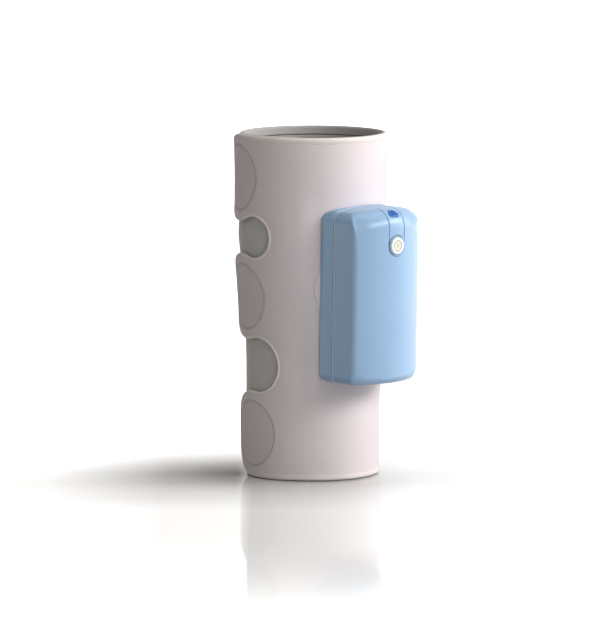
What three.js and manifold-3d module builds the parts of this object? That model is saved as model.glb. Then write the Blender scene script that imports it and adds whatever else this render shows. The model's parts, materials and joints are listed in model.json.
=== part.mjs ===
// A portable calf compression device: a soft wrap-round air cuff with a small
// air pump docked on its front. Millimetres, +Z up, the pump faces -Y.
// On the cuff, an angle of 0 is the middle of the pump and grows towards -X,
// where the outer end of the wrap closes with three round tabs.

import * as THREE from 'three';
import { mergeVertices } from 'three/addons/utils/BufferGeometryUtils.js';
import Module from 'manifold-3d';

const wasm = await Module();
wasm.setup();

// Clearances
const gap = 0.3;
const boreClearance = 0.35;

// Cuff: a slightly tapered tube of three layers
const cuffHeight = 236;
const cuffBottomRadius = 45.8;
const cuffTopRadius = 50.4;
const wrapCloth = 1.4;
const bladderFilm = 0.6;
const liningCloth = 0.9;
const bindingHeight = 6;
const edgeRoll = 0.6;
const bladderInset = 14;
const flapLift = 4.7;
const flapRiseAngle = 30;
const underEndAngle = 58;
const bladderEndAngle = 20;
const flapStartAngle = 40;
const bandStep = 5;

// Closure tabs on the outer end of the wrap
const tabRadius = 30;
const tabCloth = 2.2;
const tabRootAngle = 82;
const upperNotchAngle = 78.7;
const lowerNotchAngle = 73.7;
const upperTabAngle = 118;
const middleTabAngle = 112;
const middleTabHeight = 124.5;
const lowerTabAngle = 104.5;
const tabStep = 4;
const hookRadius = 22.5;
const hookFelt = 0.8;

// Mounting patch and dock on the front of the cuff
const patchHalfWidth = 37;
const patchHalfHeight = 26.5;
const patchFelt = 0.7;
const patchAbovePump = 3.4;
const dockHalfWidth = 11;
const dockBottom = -16;
const dockTop = 30;
const dockPlate = 2.2;
const dockRibInner = 7;
const dockRibWidth = 2;
const dockRibRise = 1.2;
const portHeight = 12;
const portRadius = 3;
const portBore = 1.3;
const portLength = 12;
const portFlangeRadius = 5.5;
const portStemRadius = 2.6;

// Pump housing, in a frame on the cuff wall that leans with it
const pumpMiddle = 129.2;
const pumpHalfWidth = 31;
const pumpHalfHeight = 60;
const pumpDepth = 33;
const pumpBackGap = 1.35;
const frontRadius = 50;
const topCornerRadius = 7.5;
const bottomCornerRadius = 5.5;
const topCrown = 3.6;
const topFrontRadius = 13;
const sideFrontRadius = 4.5;
const bottomFrontRadius = 6.5;
const faceTopCorner = 10;
const faceBottomCorner = 7;
const coverWall = 2.4;
const caseWall = 2.2;
const seamY = -2;
const gasketThickness = 1.3;
const gasketWidth = 2;
const gasketInset = 0.35;
const cornerSteps = 5;
const roundingSteps = 4;
const edgeSteps = 6;

// Raised strip with the button and the light
const tongueHalfWidth = 7;
const tongueThickness = 1;
const tongueBackY = -14.4;
const buttonBelowTop = 25;
const buttonRadius = 6;
const buttonProud = 0.9;
const buttonCap = 1;
const buttonTravel = 0.8;
const buttonStemRadius = 2.4;
const bezelWidth = 0.7;
const bezelProud = 0.3;
const lensHalfWidth = 4.7;
const lensHalfHeight = 2.8;
const lensDepth = 3.2;
const lensDome = 0.5;

// Circuit board and what it carries
const boardSideRoom = 11;
const boardBottom = -2;
const boardTopRoom = 10;
const boardSetback = 8.5;
const boardThickness = 1.6;
const boardScrewInset = 4;
const boardScrewRadius = 1;
const boardScrewHead = 1.9;
const switchSize = 6;
const switchHeight = 3.4;
const ledRadius = 1.5;
const ledLength = 2.6;
const sensorSize = 7;
const sensorDepth = 4.5;
const sensorX = 12;
const sensorRise = 7;

// Housing screws
const screwSideInset = 7;
const screwEndInset = 10;
const screwRadius = 1.1;
const screwHeadRadius = 2.5;
const screwHead = 1.6;
const screwSlot = 0.7;
const screwSink = 2.2;
const screwLength = 13;
const bossWall = 1.8;

// Battery cells
const cellRadius = 7.1;
const cellLength = 50;
const cellBackRoom = 0.35;
const trayWall = 0.7;
const traySideRoom = 0.9;
const trayRise = 0.5;

// Air pump, valve and air ways
const motorRadius = 9;
const motorLength = 26;
const shaftRadius = 1;
const shaftLength = 9;
const eccentricRadius = 3;
const eccentricOffset = 1.2;
const eccentricHeight = 3;
const headHalfWidth = 9;
const headHeight = 16;
const headWall = 2;
const headBackRoom = 1;
const nozzleRadius = 2;
const nozzleLength = 4;
const hoseWall = 0.9;
const manifoldHalfWidth = 6;
const manifoldBelowPort = 8;
const manifoldAbovePort = 5;
const manifoldBoardRoom = 1.4;
const sealThickness = 2.4;
const valveHalfWidth = 4.5;
const valveX = -14;
const valveRise = 4;
const valveLength = 14;
const plungerRadius = 1.6;
const plungerLength = 12;
const plungerTravel = 1.5;
const plungerHeadRadius = 3;
const plungerHead = 1.4;

// Charging socket at the bottom
const socketHalfWidth = 4.5;
const socketHalfDepth = 1.6;
const socketY = -13;
const socketLength = 7;
const socketShell = 0.4;
const socketFloor = 1.5;
const socketRecess = 0.8;
const socketBoardHalfWidth = 8;
const socketBoardThickness = 1.2;
const socketBoardRoom = 1.2;

const wallThickness = wrapCloth + gap + bladderFilm + gap + liningCloth;
const degrees = THREE.MathUtils.degToRad;
const patchHeight = pumpMiddle + patchAbovePump;

// Places in the pump's frame that follow from the sizes above
const buttonHeight = pumpHalfHeight - buttonBelowTop;
const boardHalfWidth = pumpHalfWidth - boardSideRoom;
const boardTop = pumpHalfHeight - boardTopRoom;
const boardFrontY = -pumpDepth + boardSetback;
const boardBackY = boardFrontY + boardThickness;
const boardScrewX = boardHalfWidth - boardScrewInset;
const boardScrewHeights = [boardBottom + boardScrewInset, boardTop - boardScrewInset];
const screwX = pumpHalfWidth - screwSideInset;
const screwHeight = pumpHalfHeight - screwEndInset;
const pocketFloorY = -pumpBackGap - dockPlate - dockRibRise;
const cellX = pumpHalfWidth - coverWall - traySideRoom - trayWall - gap - cellRadius;
const cellY = -pumpBackGap - caseWall - cellBackRoom - cellRadius;
const cellBottom = -screwHeight + screwRadius + bossWall + trayWall + 2 * gap;
const trayBackY = cellY + trayRise;
const motorBottom = cellBottom;
const motorY = pocketFloorY - caseWall - headBackRoom - headHalfWidth;
const manifoldBottom = portHeight - manifoldBelowPort;
const manifoldTop = portHeight + manifoldAbovePort;
const manifoldBackY = pocketFloorY - caseWall - 2 * gap - sealThickness;
const manifoldFrontY = boardBackY + manifoldBoardRoom;
const sensorHeight = manifoldTop + sensorRise;
const valveY = boardBackY + gap + valveHalfWidth;
const valveBottom = manifoldTop + valveRise;
const valveTop = valveBottom + valveLength;
const socketBoardTop = motorBottom - socketBoardRoom;

const finishes = {
  cloth: new THREE.MeshStandardMaterial({ color: 0xf3ebe7, roughness: 0.9, metalness: 0 }),
  lining: new THREE.MeshStandardMaterial({ color: 0xcfc9c8, roughness: 0.95, metalness: 0 }),
  film: new THREE.MeshStandardMaterial({ color: 0xb9bcc0, roughness: 0.5, metalness: 0 }),
  hook: new THREE.MeshStandardMaterial({ color: 0xd9d2cf, roughness: 0.95, metalness: 0 }),
  shell: new THREE.MeshStandardMaterial({ color: 0xa6c8ec, roughness: 0.22, metalness: 0 }),
  trim: new THREE.MeshStandardMaterial({ color: 0xc3d8ea, roughness: 0.5, metalness: 0 }),
  button: new THREE.MeshStandardMaterial({ color: 0xf4f5f6, roughness: 0.3, metalness: 0 }),
  lens: new THREE.MeshStandardMaterial({ color: 0x4a74be, roughness: 0.1, metalness: 0 }),
  rubber: new THREE.MeshStandardMaterial({ color: 0x8fa3b5, roughness: 0.7, metalness: 0 }),
  board: new THREE.MeshStandardMaterial({ color: 0x1d6b45, roughness: 0.5, metalness: 0 }),
  black: new THREE.MeshStandardMaterial({ color: 0x26282b, roughness: 0.5, metalness: 0 }),
  white: new THREE.MeshStandardMaterial({ color: 0xe9e9e6, roughness: 0.5, metalness: 0 }),
  steel: new THREE.MeshStandardMaterial({ color: 0xb8bbbe, roughness: 0.35, metalness: 1 }),
};

// Closed meshes and solids

function toSolid(geometry) {
  const bare = geometry.clone();
  bare.deleteAttribute('normal');
  bare.deleteAttribute('uv');
  const merged = mergeVertices(bare, 1e-5);
  const mesh = new wasm.Mesh({
    numProp: 3,
    vertProperties: Float32Array.from(merged.attributes.position.array),
    triVerts: Uint32Array.from(merged.index.array),
  });
  return new wasm.Manifold(mesh);
}

function toGeometry(solid) {
  const mesh = solid.getMesh();
  const geometry = new THREE.BufferGeometry();
  geometry.setAttribute('position', new THREE.BufferAttribute(mesh.vertProperties, 3));
  geometry.setIndex(new THREE.BufferAttribute(mesh.triVerts, 1));
  geometry.computeVertexNormals();
  return geometry;
}

function signedVolume(points, triangles) {
  let sum = 0;
  for (const [a, b, c] of triangles) {
    sum += points[a].dot(new THREE.Vector3().crossVectors(points[b], points[c]));
  }
  return sum / 6;
}

function closedGeometry(points, triangles) {
  const outward = signedVolume(points, triangles) > 0;
  const index = triangles.flatMap(([a, b, c]) => (outward ? [a, b, c] : [a, c, b]));
  const geometry = new THREE.BufferGeometry();
  const position = new Float32Array(points.flatMap((p) => [p.x, p.y, p.z]));
  geometry.setAttribute('position', new THREE.BufferAttribute(position, 3));
  geometry.setIndex(index);
  geometry.computeVertexNormals();
  return geometry;
}

// A solid through equal rings of points. The flat outline gives the end caps their triangles.
function loft(rings, capOutline, lastOutline = capOutline) {
  const size = rings[0].length;
  const points = rings.flat();
  const triangles = [];
  for (let i = 0; i < rings.length - 1; i += 1) {
    for (let j = 0; j < size; j += 1) {
      const a = i * size + j;
      const b = i * size + ((j + 1) % size);
      triangles.push([a, b, b + size], [a, b + size, a + size]);
    }
  }
  const last = (rings.length - 1) * size;
  for (const [a, b, c] of THREE.ShapeUtils.triangulateShape(capOutline, [])) {
    triangles.push([a, c, b]);
  }
  for (const [a, b, c] of THREE.ShapeUtils.triangulateShape(lastOutline, [])) {
    triangles.push([last + a, last + b, last + c]);
  }
  return toSolid(closedGeometry(points, triangles));
}

function block([x0, x1], [y0, y1], [z0, z1]) {
  const geometry = new THREE.BoxGeometry(x1 - x0, y1 - y0, z1 - z0);
  geometry.translate((x0 + x1) / 2, (y0 + y1) / 2, (z0 + z1) / 2);
  return toSolid(geometry);
}

// A round bar along Y or Z, from its radius, centre line and two ends
function rodAlongY(radius, x, z, y0, y1, sides = 18) {
  const geometry = new THREE.CylinderGeometry(radius, radius, y1 - y0, sides);
  geometry.translate(x, (y0 + y1) / 2, z);
  return toSolid(geometry);
}

function rodAlongZ(radius, x, y, z0, z1, sides = 24) {
  const geometry = new THREE.CylinderGeometry(radius, radius, z1 - z0, sides);
  geometry.rotateX(Math.PI / 2);
  geometry.translate(x, y, (z0 + z1) / 2);
  return toSolid(geometry);
}

function place(group, name, solid, finish) {
  const mesh = new THREE.Mesh(toGeometry(solid), finishes[finish]);
  mesh.name = name;
  group.add(mesh);
}

// Cuff layers, rolled round the axis

function wallRadius(z) {
  return cuffBottomRadius + ((cuffTopRadius - cuffBottomRadius) * z) / cuffHeight;
}

function flapOffset(angle) {
  const share = (angle - flapRiseAngle) / (180 - flapRiseAngle);
  return share < 0 ? 0 : (flapLift / 2) * (1 - Math.cos(Math.PI * share));
}

// The wrap lies on the wall radius, rises over its own inner end, and that end tucks under it
function layerOffset(angle) {
  if (angle > 0) {
    return flapOffset(angle);
  }
  if (angle > -180) {
    return 0;
  }
  return Math.min(0, flapOffset(angle + 360) - wallThickness - gap);
}

function cuffPoint(angle, offset, z) {
  const radius = wallRadius(z) + offset;
  return new THREE.Vector3(-radius * Math.sin(degrees(angle)), -radius * Math.cos(degrees(angle)), z);
}

function anglesBetween(from, to, step) {
  const count = Math.max(1, Math.round((to - from) / step));
  return Array.from({ length: count + 1 }, (_, i) => from + ((to - from) * i) / count);
}

// The section holds depths behind the outer face of the wrap, and heights
function rolledBand(section, angles) {
  const rings = angles.map((angle) =>
    section.map((p) => cuffPoint(angle, layerOffset(angle) - p.x, p.y)));
  return loft(rings, section);
}

function flatSection(depth, thickness, bottom, top) {
  return [
    new THREE.Vector2(depth, bottom),
    new THREE.Vector2(depth + thickness, bottom),
    new THREE.Vector2(depth + thickness, top),
    new THREE.Vector2(depth, top),
  ];
}

// The outer cloth turns over the lining at the top and bottom edges
function wrapSection() {
  const corners = [
    [edgeRoll, 0],
    [wallThickness - edgeRoll, 0],
    [wallThickness, edgeRoll],
    [wallThickness, bindingHeight],
    [wrapCloth, bindingHeight],
    [wrapCloth, cuffHeight - bindingHeight],
    [wallThickness, cuffHeight - bindingHeight],
    [wallThickness, cuffHeight - edgeRoll],
    [wallThickness - edgeRoll, cuffHeight],
    [edgeRoll, cuffHeight],
    [0, cuffHeight - 2 * edgeRoll],
    [0, 2 * edgeRoll],
  ];
  return corners.map(([depth, z]) => new THREE.Vector2(depth, z));
}

// Closure tabs, drawn flat on the unrolled wrap: x along the wrap, y up

const unrolledRadius = (cuffBottomRadius + cuffTopRadius) / 2 + flapLift / 2;

function flatPoint(angle, z) {
  return new THREE.Vector2(degrees(angle) * unrolledRadius, z);
}

const tabs = [
  { name: 'upper', centre: flatPoint(upperTabAngle, cuffHeight - tabRadius) },
  { name: 'middle', centre: flatPoint(middleTabAngle, middleTabHeight) },
  { name: 'lower', centre: flatPoint(lowerTabAngle, tabRadius) },
];
const tabRoot = degrees(tabRootAngle) * unrolledRadius + gap;

// A notch circle touches the round ends of the two tabs that it lies between, and its foot, the
// point nearest to the pump, is given. Its centre lies on the line midway between the tabs.
function notchBetween(above, below, footAngle) {
  const middle = new THREE.Vector2().addVectors(above, below).multiplyScalar(0.5);
  const slope = (above.x - below.x) / (below.y - above.y);
  const foot = degrees(footAngle) * unrolledRadius;
  const reach = foot - above.x;
  const drop = middle.y - above.y + slope * (foot - middle.x);
  const linear = 2 * (tabRadius - reach - slope * drop);
  const constant = reach ** 2 + drop ** 2 - tabRadius ** 2;
  const radius = (2 * constant) / (linear + Math.sqrt(linear ** 2 - 4 * slope ** 2 * constant));
  return { centre: new THREE.Vector2(foot + radius, above.y + drop + slope * radius), radius };
}

const notches = [
  notchBetween(tabs[0].centre, tabs[1].centre, upperNotchAngle),
  notchBetween(tabs[1].centre, tabs[2].centre, lowerNotchAngle),
];

function arcPoints(centre, radius, from, to, count) {
  return Array.from({ length: count + 1 }, (_, i) => {
    const turn = from + ((to - from) * i) / count;
    return new THREE.Vector2(centre.x + radius * Math.cos(turn), centre.y + radius * Math.sin(turn));
  });
}

function bearing(from, to) {
  return Math.atan2(to.y - from.y, to.x - from.x);
}

// The edge of a notch, from the tab's root to where it meets the tab's round end
function notchEdge(notch, centre) {
  const side = Math.sign(centre.y - notch.centre.y);
  const atRoot = side * Math.acos((tabRoot - notch.centre.x) / notch.radius);
  return arcPoints(notch.centre, notch.radius, atRoot, bearing(notch.centre, centre), 8);
}

function tabOutline(index) {
  const { centre } = tabs[index];
  const below = notches[index];
  const above = notches[index - 1];
  const start = below ? bearing(centre, below.centre) : -Math.PI / 2;
  const end = above ? bearing(centre, above.centre) : Math.PI / 2;
  const bottomEdge = below ? notchEdge(below, centre) : [new THREE.Vector2(tabRoot, 0)];
  const topEdge = above ? notchEdge(above, centre).reverse() : [new THREE.Vector2(tabRoot, cuffHeight)];
  const roundEnd = arcPoints(centre, tabRadius, start, end, 18);
  return [
    ...(below ? bottomEdge.slice(0, -1) : bottomEdge),
    ...roundEnd,
    ...(above ? topEdge.slice(1) : topEdge),
  ];
}

// A wedge from near the cuff axis to well outside it, through an outline on the unrolled wrap
function radialWedge(outline) {
  const ring = (reach) => outline.map((p) => {
    const angle = p.x / unrolledRadius;
    return new THREE.Vector3(-reach * Math.sin(angle), -reach * Math.cos(angle), p.y);
  });
  const near = Array.from({ length: 6 }, (_, i) => ring(cuffBottomRadius * 0.85 + 3.6 * i));
  return loft([ring(cuffBottomRadius * 0.4), ...near, ring(cuffTopRadius * 1.7)], outline);
}

function circleOutline(centre, radiusX, radiusY, count) {
  return Array.from({ length: count }, (_, i) => {
    const turn = (2 * Math.PI * i) / count;
    return new THREE.Vector2(centre.x + radiusX * Math.cos(turn), centre.y + radiusY * Math.sin(turn));
  });
}

// The cuff

const cuff = new THREE.Group();
const innerEnd = underEndAngle - 360;
const wrapLean = Math.atan((cuffTopRadius - cuffBottomRadius) / cuffHeight);
const pumpWallRadius = wallRadius(pumpMiddle);

// The pump's frame: on the cuff wall, leaning with it
const pumpPlace = new THREE.Matrix4().compose(
  new THREE.Vector3(0, -pumpWallRadius, pumpMiddle),
  new THREE.Quaternion().setFromEuler(new THREE.Euler(wrapLean, 0, 0)),
  new THREE.Vector3(1, 1, 1),
);

function onCuff(solid) {
  const geometry = toGeometry(solid);
  geometry.applyMatrix4(pumpPlace);
  return toSolid(geometry);
}

function makeCuffLayers() {
  const whole = rolledBand(wrapSection(), anglesBetween(innerEnd, flapStartAngle, bandStep));
  const overlap = flapStartAngle - bandStep;
  let flap = rolledBand(wrapSection(), anglesBetween(overlap, tabRootAngle, bandStep));
  for (const notch of notches) {
    flap = flap.subtract(radialWedge(circleOutline(notch.centre, notch.radius, notch.radius, 30)));
  }
  const stemHole = rodAlongY(portStemRadius + boreClearance, 0, portHeight, -2 * wrapCloth, 2 * wrapCloth);
  place(cuff, 'cuff_outer_wrap', whole.add(flap).subtract(onCuff(stemHole)), 'cloth');

  const liningDepth = wallThickness - liningCloth;
  const liningBottom = bindingHeight + gap;
  const lining = flatSection(liningDepth, liningCloth, liningBottom, cuffHeight - liningBottom);
  const liningAngles = anglesBetween(innerEnd, tabRootAngle - bandStep, bandStep);
  place(cuff, 'cuff_inner_lining', rolledBand(lining, liningAngles), 'lining');

  const bladder = flatSection(wrapCloth + gap, bladderFilm, bladderInset, cuffHeight - bladderInset);
  const bladderAngles = anglesBetween(innerEnd + bandStep, bladderEndAngle, bandStep);
  place(cuff, 'air_bladder', rolledBand(bladder, bladderAngles), 'film');
}

// One peeling tab, and the hook felt on its inner face
function makeTab(index) {
  const { name, centre } = tabs[index];
  const reach = (centre.x + tabRadius) / unrolledRadius;
  const angles = anglesBetween(tabRootAngle, THREE.MathUtils.radToDeg(reach) + tabStep, tabStep);
  const cloth = flatSection(0, tabCloth, -edgeRoll, cuffHeight + edgeRoll);
  const tab = rolledBand(cloth, angles).intersect(radialWedge(tabOutline(index)));
  place(cuff, `closure_tab_${name}`, tab, 'cloth');

  const felt = flatSection(tabCloth + gap, hookFelt, 0, cuffHeight);
  const patch = radialWedge(circleOutline(centre, hookRadius, hookRadius, 24));
  place(cuff, `hook_patch_${name}`, rolledBand(felt, angles).intersect(patch), 'hook');
}

function makeMountPatch() {
  const edge = THREE.MathUtils.radToDeg(patchHalfWidth / wallRadius(patchHeight)) + tabStep;
  const section = flatSection(-gap - patchFelt, patchFelt, 0, cuffHeight);
  const felt = rolledBand(section, anglesBetween(-edge, edge, tabStep));
  const scale = unrolledRadius / wallRadius(patchHeight);
  const oval = circleOutline(
    new THREE.Vector2(0, patchHeight), patchHalfWidth * scale, patchHalfHeight, 30);
  const hole = rodAlongY(portFlangeRadius + boreClearance, 0, portHeight, -4, 2);
  const patch = felt.intersect(radialWedge(oval)).subtract(onCuff(hole));
  place(cuff, 'mount_patch', patch, 'hook');
}

makeCuffLayers();
tabs.forEach((_, index) => makeTab(index));
makeMountPatch();

// Pump housing shapes, in the pump's own frame

const pump = new THREE.Group();
pump.applyMatrix4(pumpPlace);

// The front view outline, pulled in by an inset, each point with the place on the front face
// that the rounding brings it to
function housingOutline(inset) {
  const halfWidth = pumpHalfWidth - inset;
  const halfHeight = pumpHalfHeight - inset;
  const faceHalfWidth = pumpHalfWidth - sideFrontRadius;
  const crownAt = (x, side) => (side > 0 ? topCrown * (x / pumpHalfWidth) ** 2 : 0);
  const corners = [
    { x: 1, z: 1, from: 0 },
    { x: -1, z: 1, from: 90 },
    { x: -1, z: -1, from: 180 },
    { x: 1, z: -1, from: 270 },
  ];
  const points = [];
  for (const corner of corners) {
    const radius = (corner.z > 0 ? topCornerRadius : bottomCornerRadius) - inset;
    const faceRadius = corner.z > 0 ? faceTopCorner : faceBottomCorner;
    const faceHalfHeight = pumpHalfHeight - (corner.z > 0 ? topFrontRadius : bottomFrontRadius);
    const add = (x, z, faceX, faceZ, normal) => points.push({
      x,
      z: z - crownAt(x, corner.z),
      faceX,
      faceZ: faceZ - crownAt(faceX, corner.z),
      normal,
    });
    for (let i = 0; i <= cornerSteps; i += 1) {
      const turn = degrees(corner.from + (90 * i) / cornerSteps);
      const normal = new THREE.Vector2(Math.cos(turn), Math.sin(turn));
      add(
        corner.x * (halfWidth - radius) + radius * normal.x,
        corner.z * (halfHeight - radius) + radius * normal.y,
        corner.x * (faceHalfWidth - faceRadius) + faceRadius * normal.x,
        corner.z * (faceHalfHeight - faceRadius) + faceRadius * normal.y,
        normal,
      );
    }
    if (corner.x === corner.z) {
      for (let i = 1; i < edgeSteps; i += 1) {
        const share = corner.x * (1 - (2 * i) / edgeSteps);
        add(
          share * (halfWidth - radius),
          corner.z * halfHeight,
          share * (faceHalfWidth - faceRadius),
          corner.z * faceHalfHeight,
          new THREE.Vector2(0, corner.z),
        );
      }
    }
  }
  return points;
}

function frontY(x, inset) {
  const radius = frontRadius - inset;
  return -pumpDepth + inset + radius - Math.sqrt(radius ** 2 - x ** 2);
}

// The housing from a back plane to its crowned and rounded front
function housingSolid(inset, backY) {
  const outline = housingOutline(inset);
  const rings = [outline.map((p) => new THREE.Vector3(p.x, backY, p.z))];
  const rounding = (p) => {
    const upright = p.normal.y > 0 ? topFrontRadius : bottomFrontRadius;
    return sideFrontRadius * p.normal.x ** 2 + upright * p.normal.y ** 2 - inset;
  };
  for (let i = 0; i <= roundingSteps; i += 1) {
    const turn = (Math.PI / 2) * (i / roundingSteps);
    rings.push(outline.map((p) => {
      const drawIn = 1 - Math.cos(turn);
      const x = p.x + (p.faceX - p.x) * drawIn;
      const y = frontY(x, inset) + rounding(p) * (1 - Math.sin(turn));
      return new THREE.Vector3(x, y, p.z + (p.faceZ - p.z) * drawIn);
    }));
  }
  const edge = rings[rings.length - 1];
  for (const share of [0.7, 0.4, 0.15]) {
    rings.push(edge.map((p) => new THREE.Vector3(p.x * share, frontY(p.x * share, inset), p.z * share)));
  }
  const flat = (ring) => ring.map((p) => new THREE.Vector2(p.x, p.z));
  return loft(rings, flat(rings[0]), flat(rings[rings.length - 1]));
}

function housingPrism(inset, backY, frontEndY) {
  const outline = housingOutline(inset);
  const ring = (y) => outline.map((p) => new THREE.Vector3(p.x, y, p.z));
  return loft([ring(backY), ring(frontEndY)], outline.map((p) => new THREE.Vector2(p.x, p.z)));
}

// A bar concentric with the cuff wall, as tall as the pump and more
function wallBar(offset) {
  const reach = pumpHalfHeight * 1.5;
  return rodAlongZ(pumpWallRadius + offset, 0, pumpWallRadius, -reach, reach, 90);
}

const screwPlaces = [[-1, -1], [1, -1], [-1, 1], [1, 1]].map(([x, z]) => [x * screwX, z * screwHeight]);
const boardScrewPlaces = boardScrewHeights.flatMap((z) => [[-boardScrewX, z], [boardScrewX, z]]);
const coverBackY = seamY - gasketThickness - 2 * gap;
const outerFront = housingSolid(0, coverBackY);
const recessFloor = tongueThickness + gap;
const caseBackY = pumpWallRadius - Math.sqrt((pumpWallRadius + pumpBackGap) ** 2 - screwX ** 2);
const screwHeadY = caseBackY - screwSink;
const buttonWellRadius = buttonRadius + boreClearance + bezelWidth + gap;

// The strip's outline in front view, ending round the button
function tongueColumn(grow) {
  const column = block(
    [-tongueHalfWidth - grow, tongueHalfWidth + grow],
    [-2 * pumpDepth, tongueBackY + grow],
    [buttonHeight, 2 * pumpHalfHeight],
  );
  const end = rodAlongY(tongueHalfWidth + grow, 0, buttonHeight, -2 * pumpDepth, tongueBackY + grow, 40);
  return column.add(end);
}

// The lens stands square to the rounding at the top front
const lensTurn = degrees(37);
const lensCentre = new THREE.Vector3(
  0,
  -pumpDepth + topFrontRadius * (1 - Math.sin(lensTurn)),
  pumpHalfHeight - topFrontRadius * (1 - Math.cos(lensTurn)),
);

function lensSolid(grow, depth, dome) {
  const profile = [
    new THREE.Vector2(0, -depth),
    new THREE.Vector2(lensHalfWidth + grow, -depth),
    new THREE.Vector2(lensHalfWidth + grow, 0),
    new THREE.Vector2((lensHalfWidth + grow) * 0.6, dome * 0.8),
    new THREE.Vector2(0, dome),
  ];
  const geometry = new THREE.LatheGeometry(profile, 32);
  geometry.scale(1, 1, (lensHalfHeight + grow) / (lensHalfWidth + grow));
  geometry.rotateX(Math.PI / 2 + lensTurn);
  geometry.translate(lensCentre.x, lensCentre.y, lensCentre.z);
  return toSolid(geometry);
}

function makeFrontCover() {
  const inside = housingSolid(coverWall, coverBackY + coverWall);
  let cover = outerFront.subtract(inside);
  for (const [x, z] of screwPlaces) {
    const boss = rodAlongY(screwRadius + bossWall, x, z, -pumpDepth, coverBackY - gap);
    cover = cover.add(boss.intersect(housingSolid(coverWall / 2, coverBackY - gap)));
    cover = cover.subtract(rodAlongY(screwRadius + boreClearance, x, z, screwHeadY - screwLength - 2, 0));
  }
  for (const [x, z] of boardScrewPlaces) {
    const boss = rodAlongY(boardScrewRadius + bossWall / 2, x, z, -pumpDepth, boardFrontY - gap);
    cover = cover.add(boss.intersect(housingSolid(coverWall / 2, boardFrontY - gap)));
    cover = cover.subtract(rodAlongY(boardScrewRadius / 2, x, z, boardFrontY - 4, boardFrontY));
  }
  const recess = tongueColumn(gap).subtract(housingSolid(recessFloor, coverBackY));
  const well = rodAlongY(buttonWellRadius, 0, buttonHeight, -2 * pumpDepth, -pumpDepth + recessFloor, 40);
  const stemHole = rodAlongY(buttonStemRadius + boreClearance, 0, buttonHeight, -2 * pumpDepth, boardFrontY);
  const socketSlot = block(
    [-socketHalfWidth - gap, socketHalfWidth + gap],
    [socketY - socketHalfDepth - gap, socketY + socketHalfDepth + gap],
    [-2 * pumpHalfHeight, -pumpHalfHeight + coverWall * 2],
  );
  cover = cover.subtract(recess).subtract(well).subtract(stemHole);
  cover = cover.subtract(lensSolid(boreClearance, lensDepth * 3, lensDome * 8)).subtract(socketSlot);
  place(pump, 'front_cover', cover, 'shell');
}

function makeRearCase() {
  const step = housingPrism(coverWall + gap, coverBackY - 3 * caseWall, seamY + 1);
  const outer = housingPrism(0, seamY, pumpWallRadius / 2).add(step).subtract(wallBar(pumpBackGap));
  const hollow = housingPrism(coverWall + gap / 2, -pumpDepth, pumpWallRadius / 2);
  const inside = hollow.subtract(wallBar(pumpBackGap + caseWall));
  let rear = outer.subtract(inside);
  const bossEnd = coverBackY + gap;
  for (const [x, z] of screwPlaces) {
    const boss = rodAlongY(screwHeadRadius + boreClearance + bossWall / 2, x, z, bossEnd, screwHeadY + 6);
    rear = rear.add(boss.intersect(housingPrism(coverWall + gap, -pumpDepth, pumpDepth)));
  }
  const pocketRim = block(
    [-dockHalfWidth - caseWall, dockHalfWidth + caseWall],
    [pocketFloorY - caseWall, 0],
    [dockBottom - caseWall, dockTop + caseWall],
  );
  rear = rear.add(pocketRim).subtract(wallBar(pumpBackGap));
  const pocket = block(
    [-dockHalfWidth - 2 * gap, dockHalfWidth + 2 * gap],
    [pocketFloorY, pumpDepth],
    [dockBottom - 2 * gap, dockTop + 2 * gap],
  );
  rear = rear.subtract(pocket);
  rear = rear.subtract(rodAlongY(portRadius + boreClearance, 0, portHeight, -pumpDepth, 0));
  for (const [x, z] of screwPlaces) {
    rear = rear.subtract(rodAlongY(screwRadius + boreClearance, x, z, -pumpDepth, pumpDepth));
    rear = rear.subtract(
      rodAlongY(screwHeadRadius + boreClearance, x, z, screwHeadY - screwHead - gap, pumpDepth));
  }
  place(pump, 'rear_case', rear, 'shell');
}

function makeSeamGasket() {
  const front = seamY - gap - gasketThickness;
  const back = seamY - gap;
  const ring = housingPrism(gasketInset, front, back);
  const hole = housingPrism(gasketInset + gasketWidth, front - 1, back + 1);
  place(pump, 'seam_gasket', ring.subtract(hole), 'trim');
}

function makeTongue() {
  const skin = outerFront.subtract(housingSolid(tongueThickness, coverBackY + 1));
  const well = rodAlongY(buttonWellRadius, 0, buttonHeight, -2 * pumpDepth, 0, 40);
  const lensHole = lensSolid(boreClearance, lensDepth * 3, lensDome * 8);
  place(pump, 'control_tongue', skin.intersect(tongueColumn(0)).subtract(well).subtract(lensHole), 'shell');
}

function makeButtonParts() {
  const floorY = -pumpDepth + recessFloor;
  const bezelRadius = buttonRadius + boreClearance + bezelWidth;
  const bezel = rodAlongY(bezelRadius, 0, buttonHeight, -pumpDepth - bezelProud, floorY - gap, 40);
  const bore = rodAlongY(buttonRadius + boreClearance, 0, buttonHeight, -2 * pumpDepth, 0, 40);
  place(pump, 'button_bezel', bezel.subtract(bore), 'trim');

  const capFront = -pumpDepth - buttonProud;
  const cap = rodAlongY(buttonRadius, 0, buttonHeight, capFront, capFront + buttonCap, 36);
  const switchFront = boardFrontY - gap - switchHeight;
  const stemEnd = switchFront - gap - buttonTravel;
  const stem = rodAlongY(buttonStemRadius, 0, buttonHeight, capFront + buttonCap / 2, stemEnd);
  place(pump, 'power_button', cap.add(stem), 'button');

  place(pump, 'indicator_lens', lensSolid(0, lensDepth, lensDome), 'lens');

  const half = switchSize / 2;
  const body = block(
    [-half, half],
    [switchFront + 1, boardFrontY - gap],
    [buttonHeight - half, buttonHeight + half],
  );
  const nub = rodAlongY(switchSize / 4, 0, buttonHeight, switchFront, switchFront + 1.5, 16);
  place(pump, 'tact_switch', body.add(nub), 'black');

  const ledHeight = boardTop - 3;
  const led = rodAlongY(ledRadius, 0, ledHeight, boardFrontY - gap - ledLength, boardFrontY - gap, 16);
  place(pump, 'status_led', led, 'white');
}

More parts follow.
